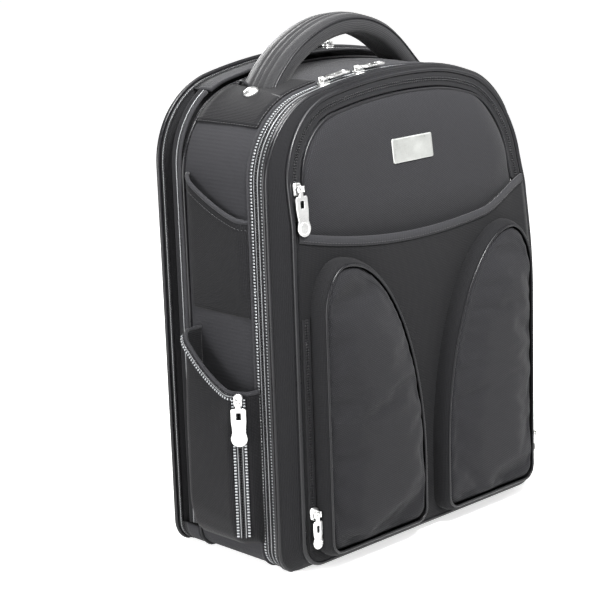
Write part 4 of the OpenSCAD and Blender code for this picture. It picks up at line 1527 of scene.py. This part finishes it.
def build_rivets():
    first = None
    for side, label in SIDES:
        lo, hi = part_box("handle_rivets")
        a = math.acos((RIVET_X - (RIM_HW - RIM_CORNER)) / RIM_CORNER)
        crown_z = RIM_H - CROWN_R
        shoulder_z = crown_z + math.sqrt((CROWN_R - RIM_CORNER) ** 2 - (RIM_HW - RIM_CORNER) ** 2)
        out = Vector((side * math.cos(a), 0, math.sin(a)))
        corner = Vector((side * (RIM_HW - RIM_CORNER), (lo.y + hi.y) / 2, shoulder_z))
        foot = corner + out * (RIM_CORNER + 2.2 * MM)
        u, v = Vector((0, 1, 0)), out.cross(Vector((0, 1, 0)))
        rows = []
        for r, h in ((6.6, 0.2), (6.8, 1.2), (6.4, 2.6), (5.2, 3.9), (3.2, 4.9), (0.8, 5.3)):
            rows.append([tuple(foot + (u * math.cos(t) + v * math.sin(t)) * r * MM + out * h * MM)
                         for t in around(28)])
        rivet = grid(f"rivet_{label}", rows, METAL, "main_body", ends=True, flip=side > 0)
        first = first or rivet
    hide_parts("handle_rivets")


build_rivets()


def build_adjusters():
    for _, label in SIDES:
        node = f"adjuster_{label}"
        lo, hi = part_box(node)
        bars = [((lo.x, lo.y, lo.z + k * MM), (hi.x, hi.y, lo.z + (k + 5) * MM)) for k in (0, 12.5, 25)]
        bars += [((x0, lo.y + 0.6 * MM, lo.z + 1 * MM), (x0 + 5 * MM, hi.y - 0.4 * MM, hi.z - 1 * MM))
                 for x0 in (lo.x, hi.x - 5 * MM)]
        verts, faces = box_mesh(bars)
        buckle = make(f"ladder_lock_{label}", verts, faces, None, BUCKLE, None)
        bevelled(buckle, 1.3 * MM, 3)
        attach(buckle, node)
        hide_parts(node)


build_adjusters()


# ---------------------------------------------------------------- floor, light

def floor_material():
    """A plain pale floor that glows a little, so that it stays white far from the lamps."""
    material, tree, shader = new_material("pale_floor")
    place = add(tree, "ShaderNodeTexCoord").outputs["Object"]
    fine = add(tree, "ShaderNodeTexNoise", Scale=60.0, Detail=2.0, Roughness=0.5)
    tree.links.new(place, fine.inputs["Vector"])
    tree.links.new(ramp(tree, fine.outputs["Fac"], [(0.3, (0.86, 0.86, 0.86)), (0.7, (0.88, 0.88, 0.88))]),
                   shader.inputs["Base Color"])
    shader.inputs["Roughness"].default_value = 0.9
    shader.inputs["Specular IOR Level"].default_value = 0.1
    shader.inputs["Emission Color"].default_value = (1, 1, 1, 1)
    shader.inputs["Emission Strength"].default_value = 0.68
    return material


LAMPS = (
    ("key", (-0.3, -0.65, 0.95), 0.35, 4.4, (0.02, -0.1, 0.42), 60),
    ("top", (-0.1, -0.15, 1.4), 0.8, 7, (0, 0, 0.35), 110),
    ("side", (-1.3, -0.1, 0.3), 0.6, 6.5, (0, 0, 0.15), 110),
    ("right", (1.2, -0.7, 1.0), 0.6, 2, (0.1, 0, 0.3), 110),
    ("back", (0.35, 1.5, 1.0), 0.8, 12, (0, 0, 0.25), 110))
WORLD = 0.4


def build_stage():
    half = 30
    verts = [(-half, -half, 0), (half, -half, 0), (half, half, 0), (-half, half, 0)]
    floor = make("floor", verts, [[0, 1, 2, 3]], [(0, 0), (1, 0), (1, 1), (0, 1)], floor_material())
    world = bpy.data.worlds.new("studio")
    world.use_nodes = True
    backdrop = next(n for n in world.node_tree.nodes if n.type == "BACKGROUND")
    backdrop.inputs["Color"].default_value = (1, 1, 1, 1)
    backdrop.inputs["Strength"].default_value = WORLD
    bpy.context.scene.world = world
    for name, place, size, power, aim, spread in LAMPS:
        data = bpy.data.lights.new(name, "AREA")
        data.size = size
        data.energy = power
        data.spread = math.radians(spread)
        light = bpy.data.objects.new(name, data)
        bpy.context.scene.collection.objects.link(light)
        light.location = place
        light.rotation_euler = (Vector(aim) - Vector(place)).to_track_quat("-Z", "Y").to_euler()


build_stage()
bpy.context.scene.view_settings.view_transform = "Standard"

bpy.context.view_layer.update()
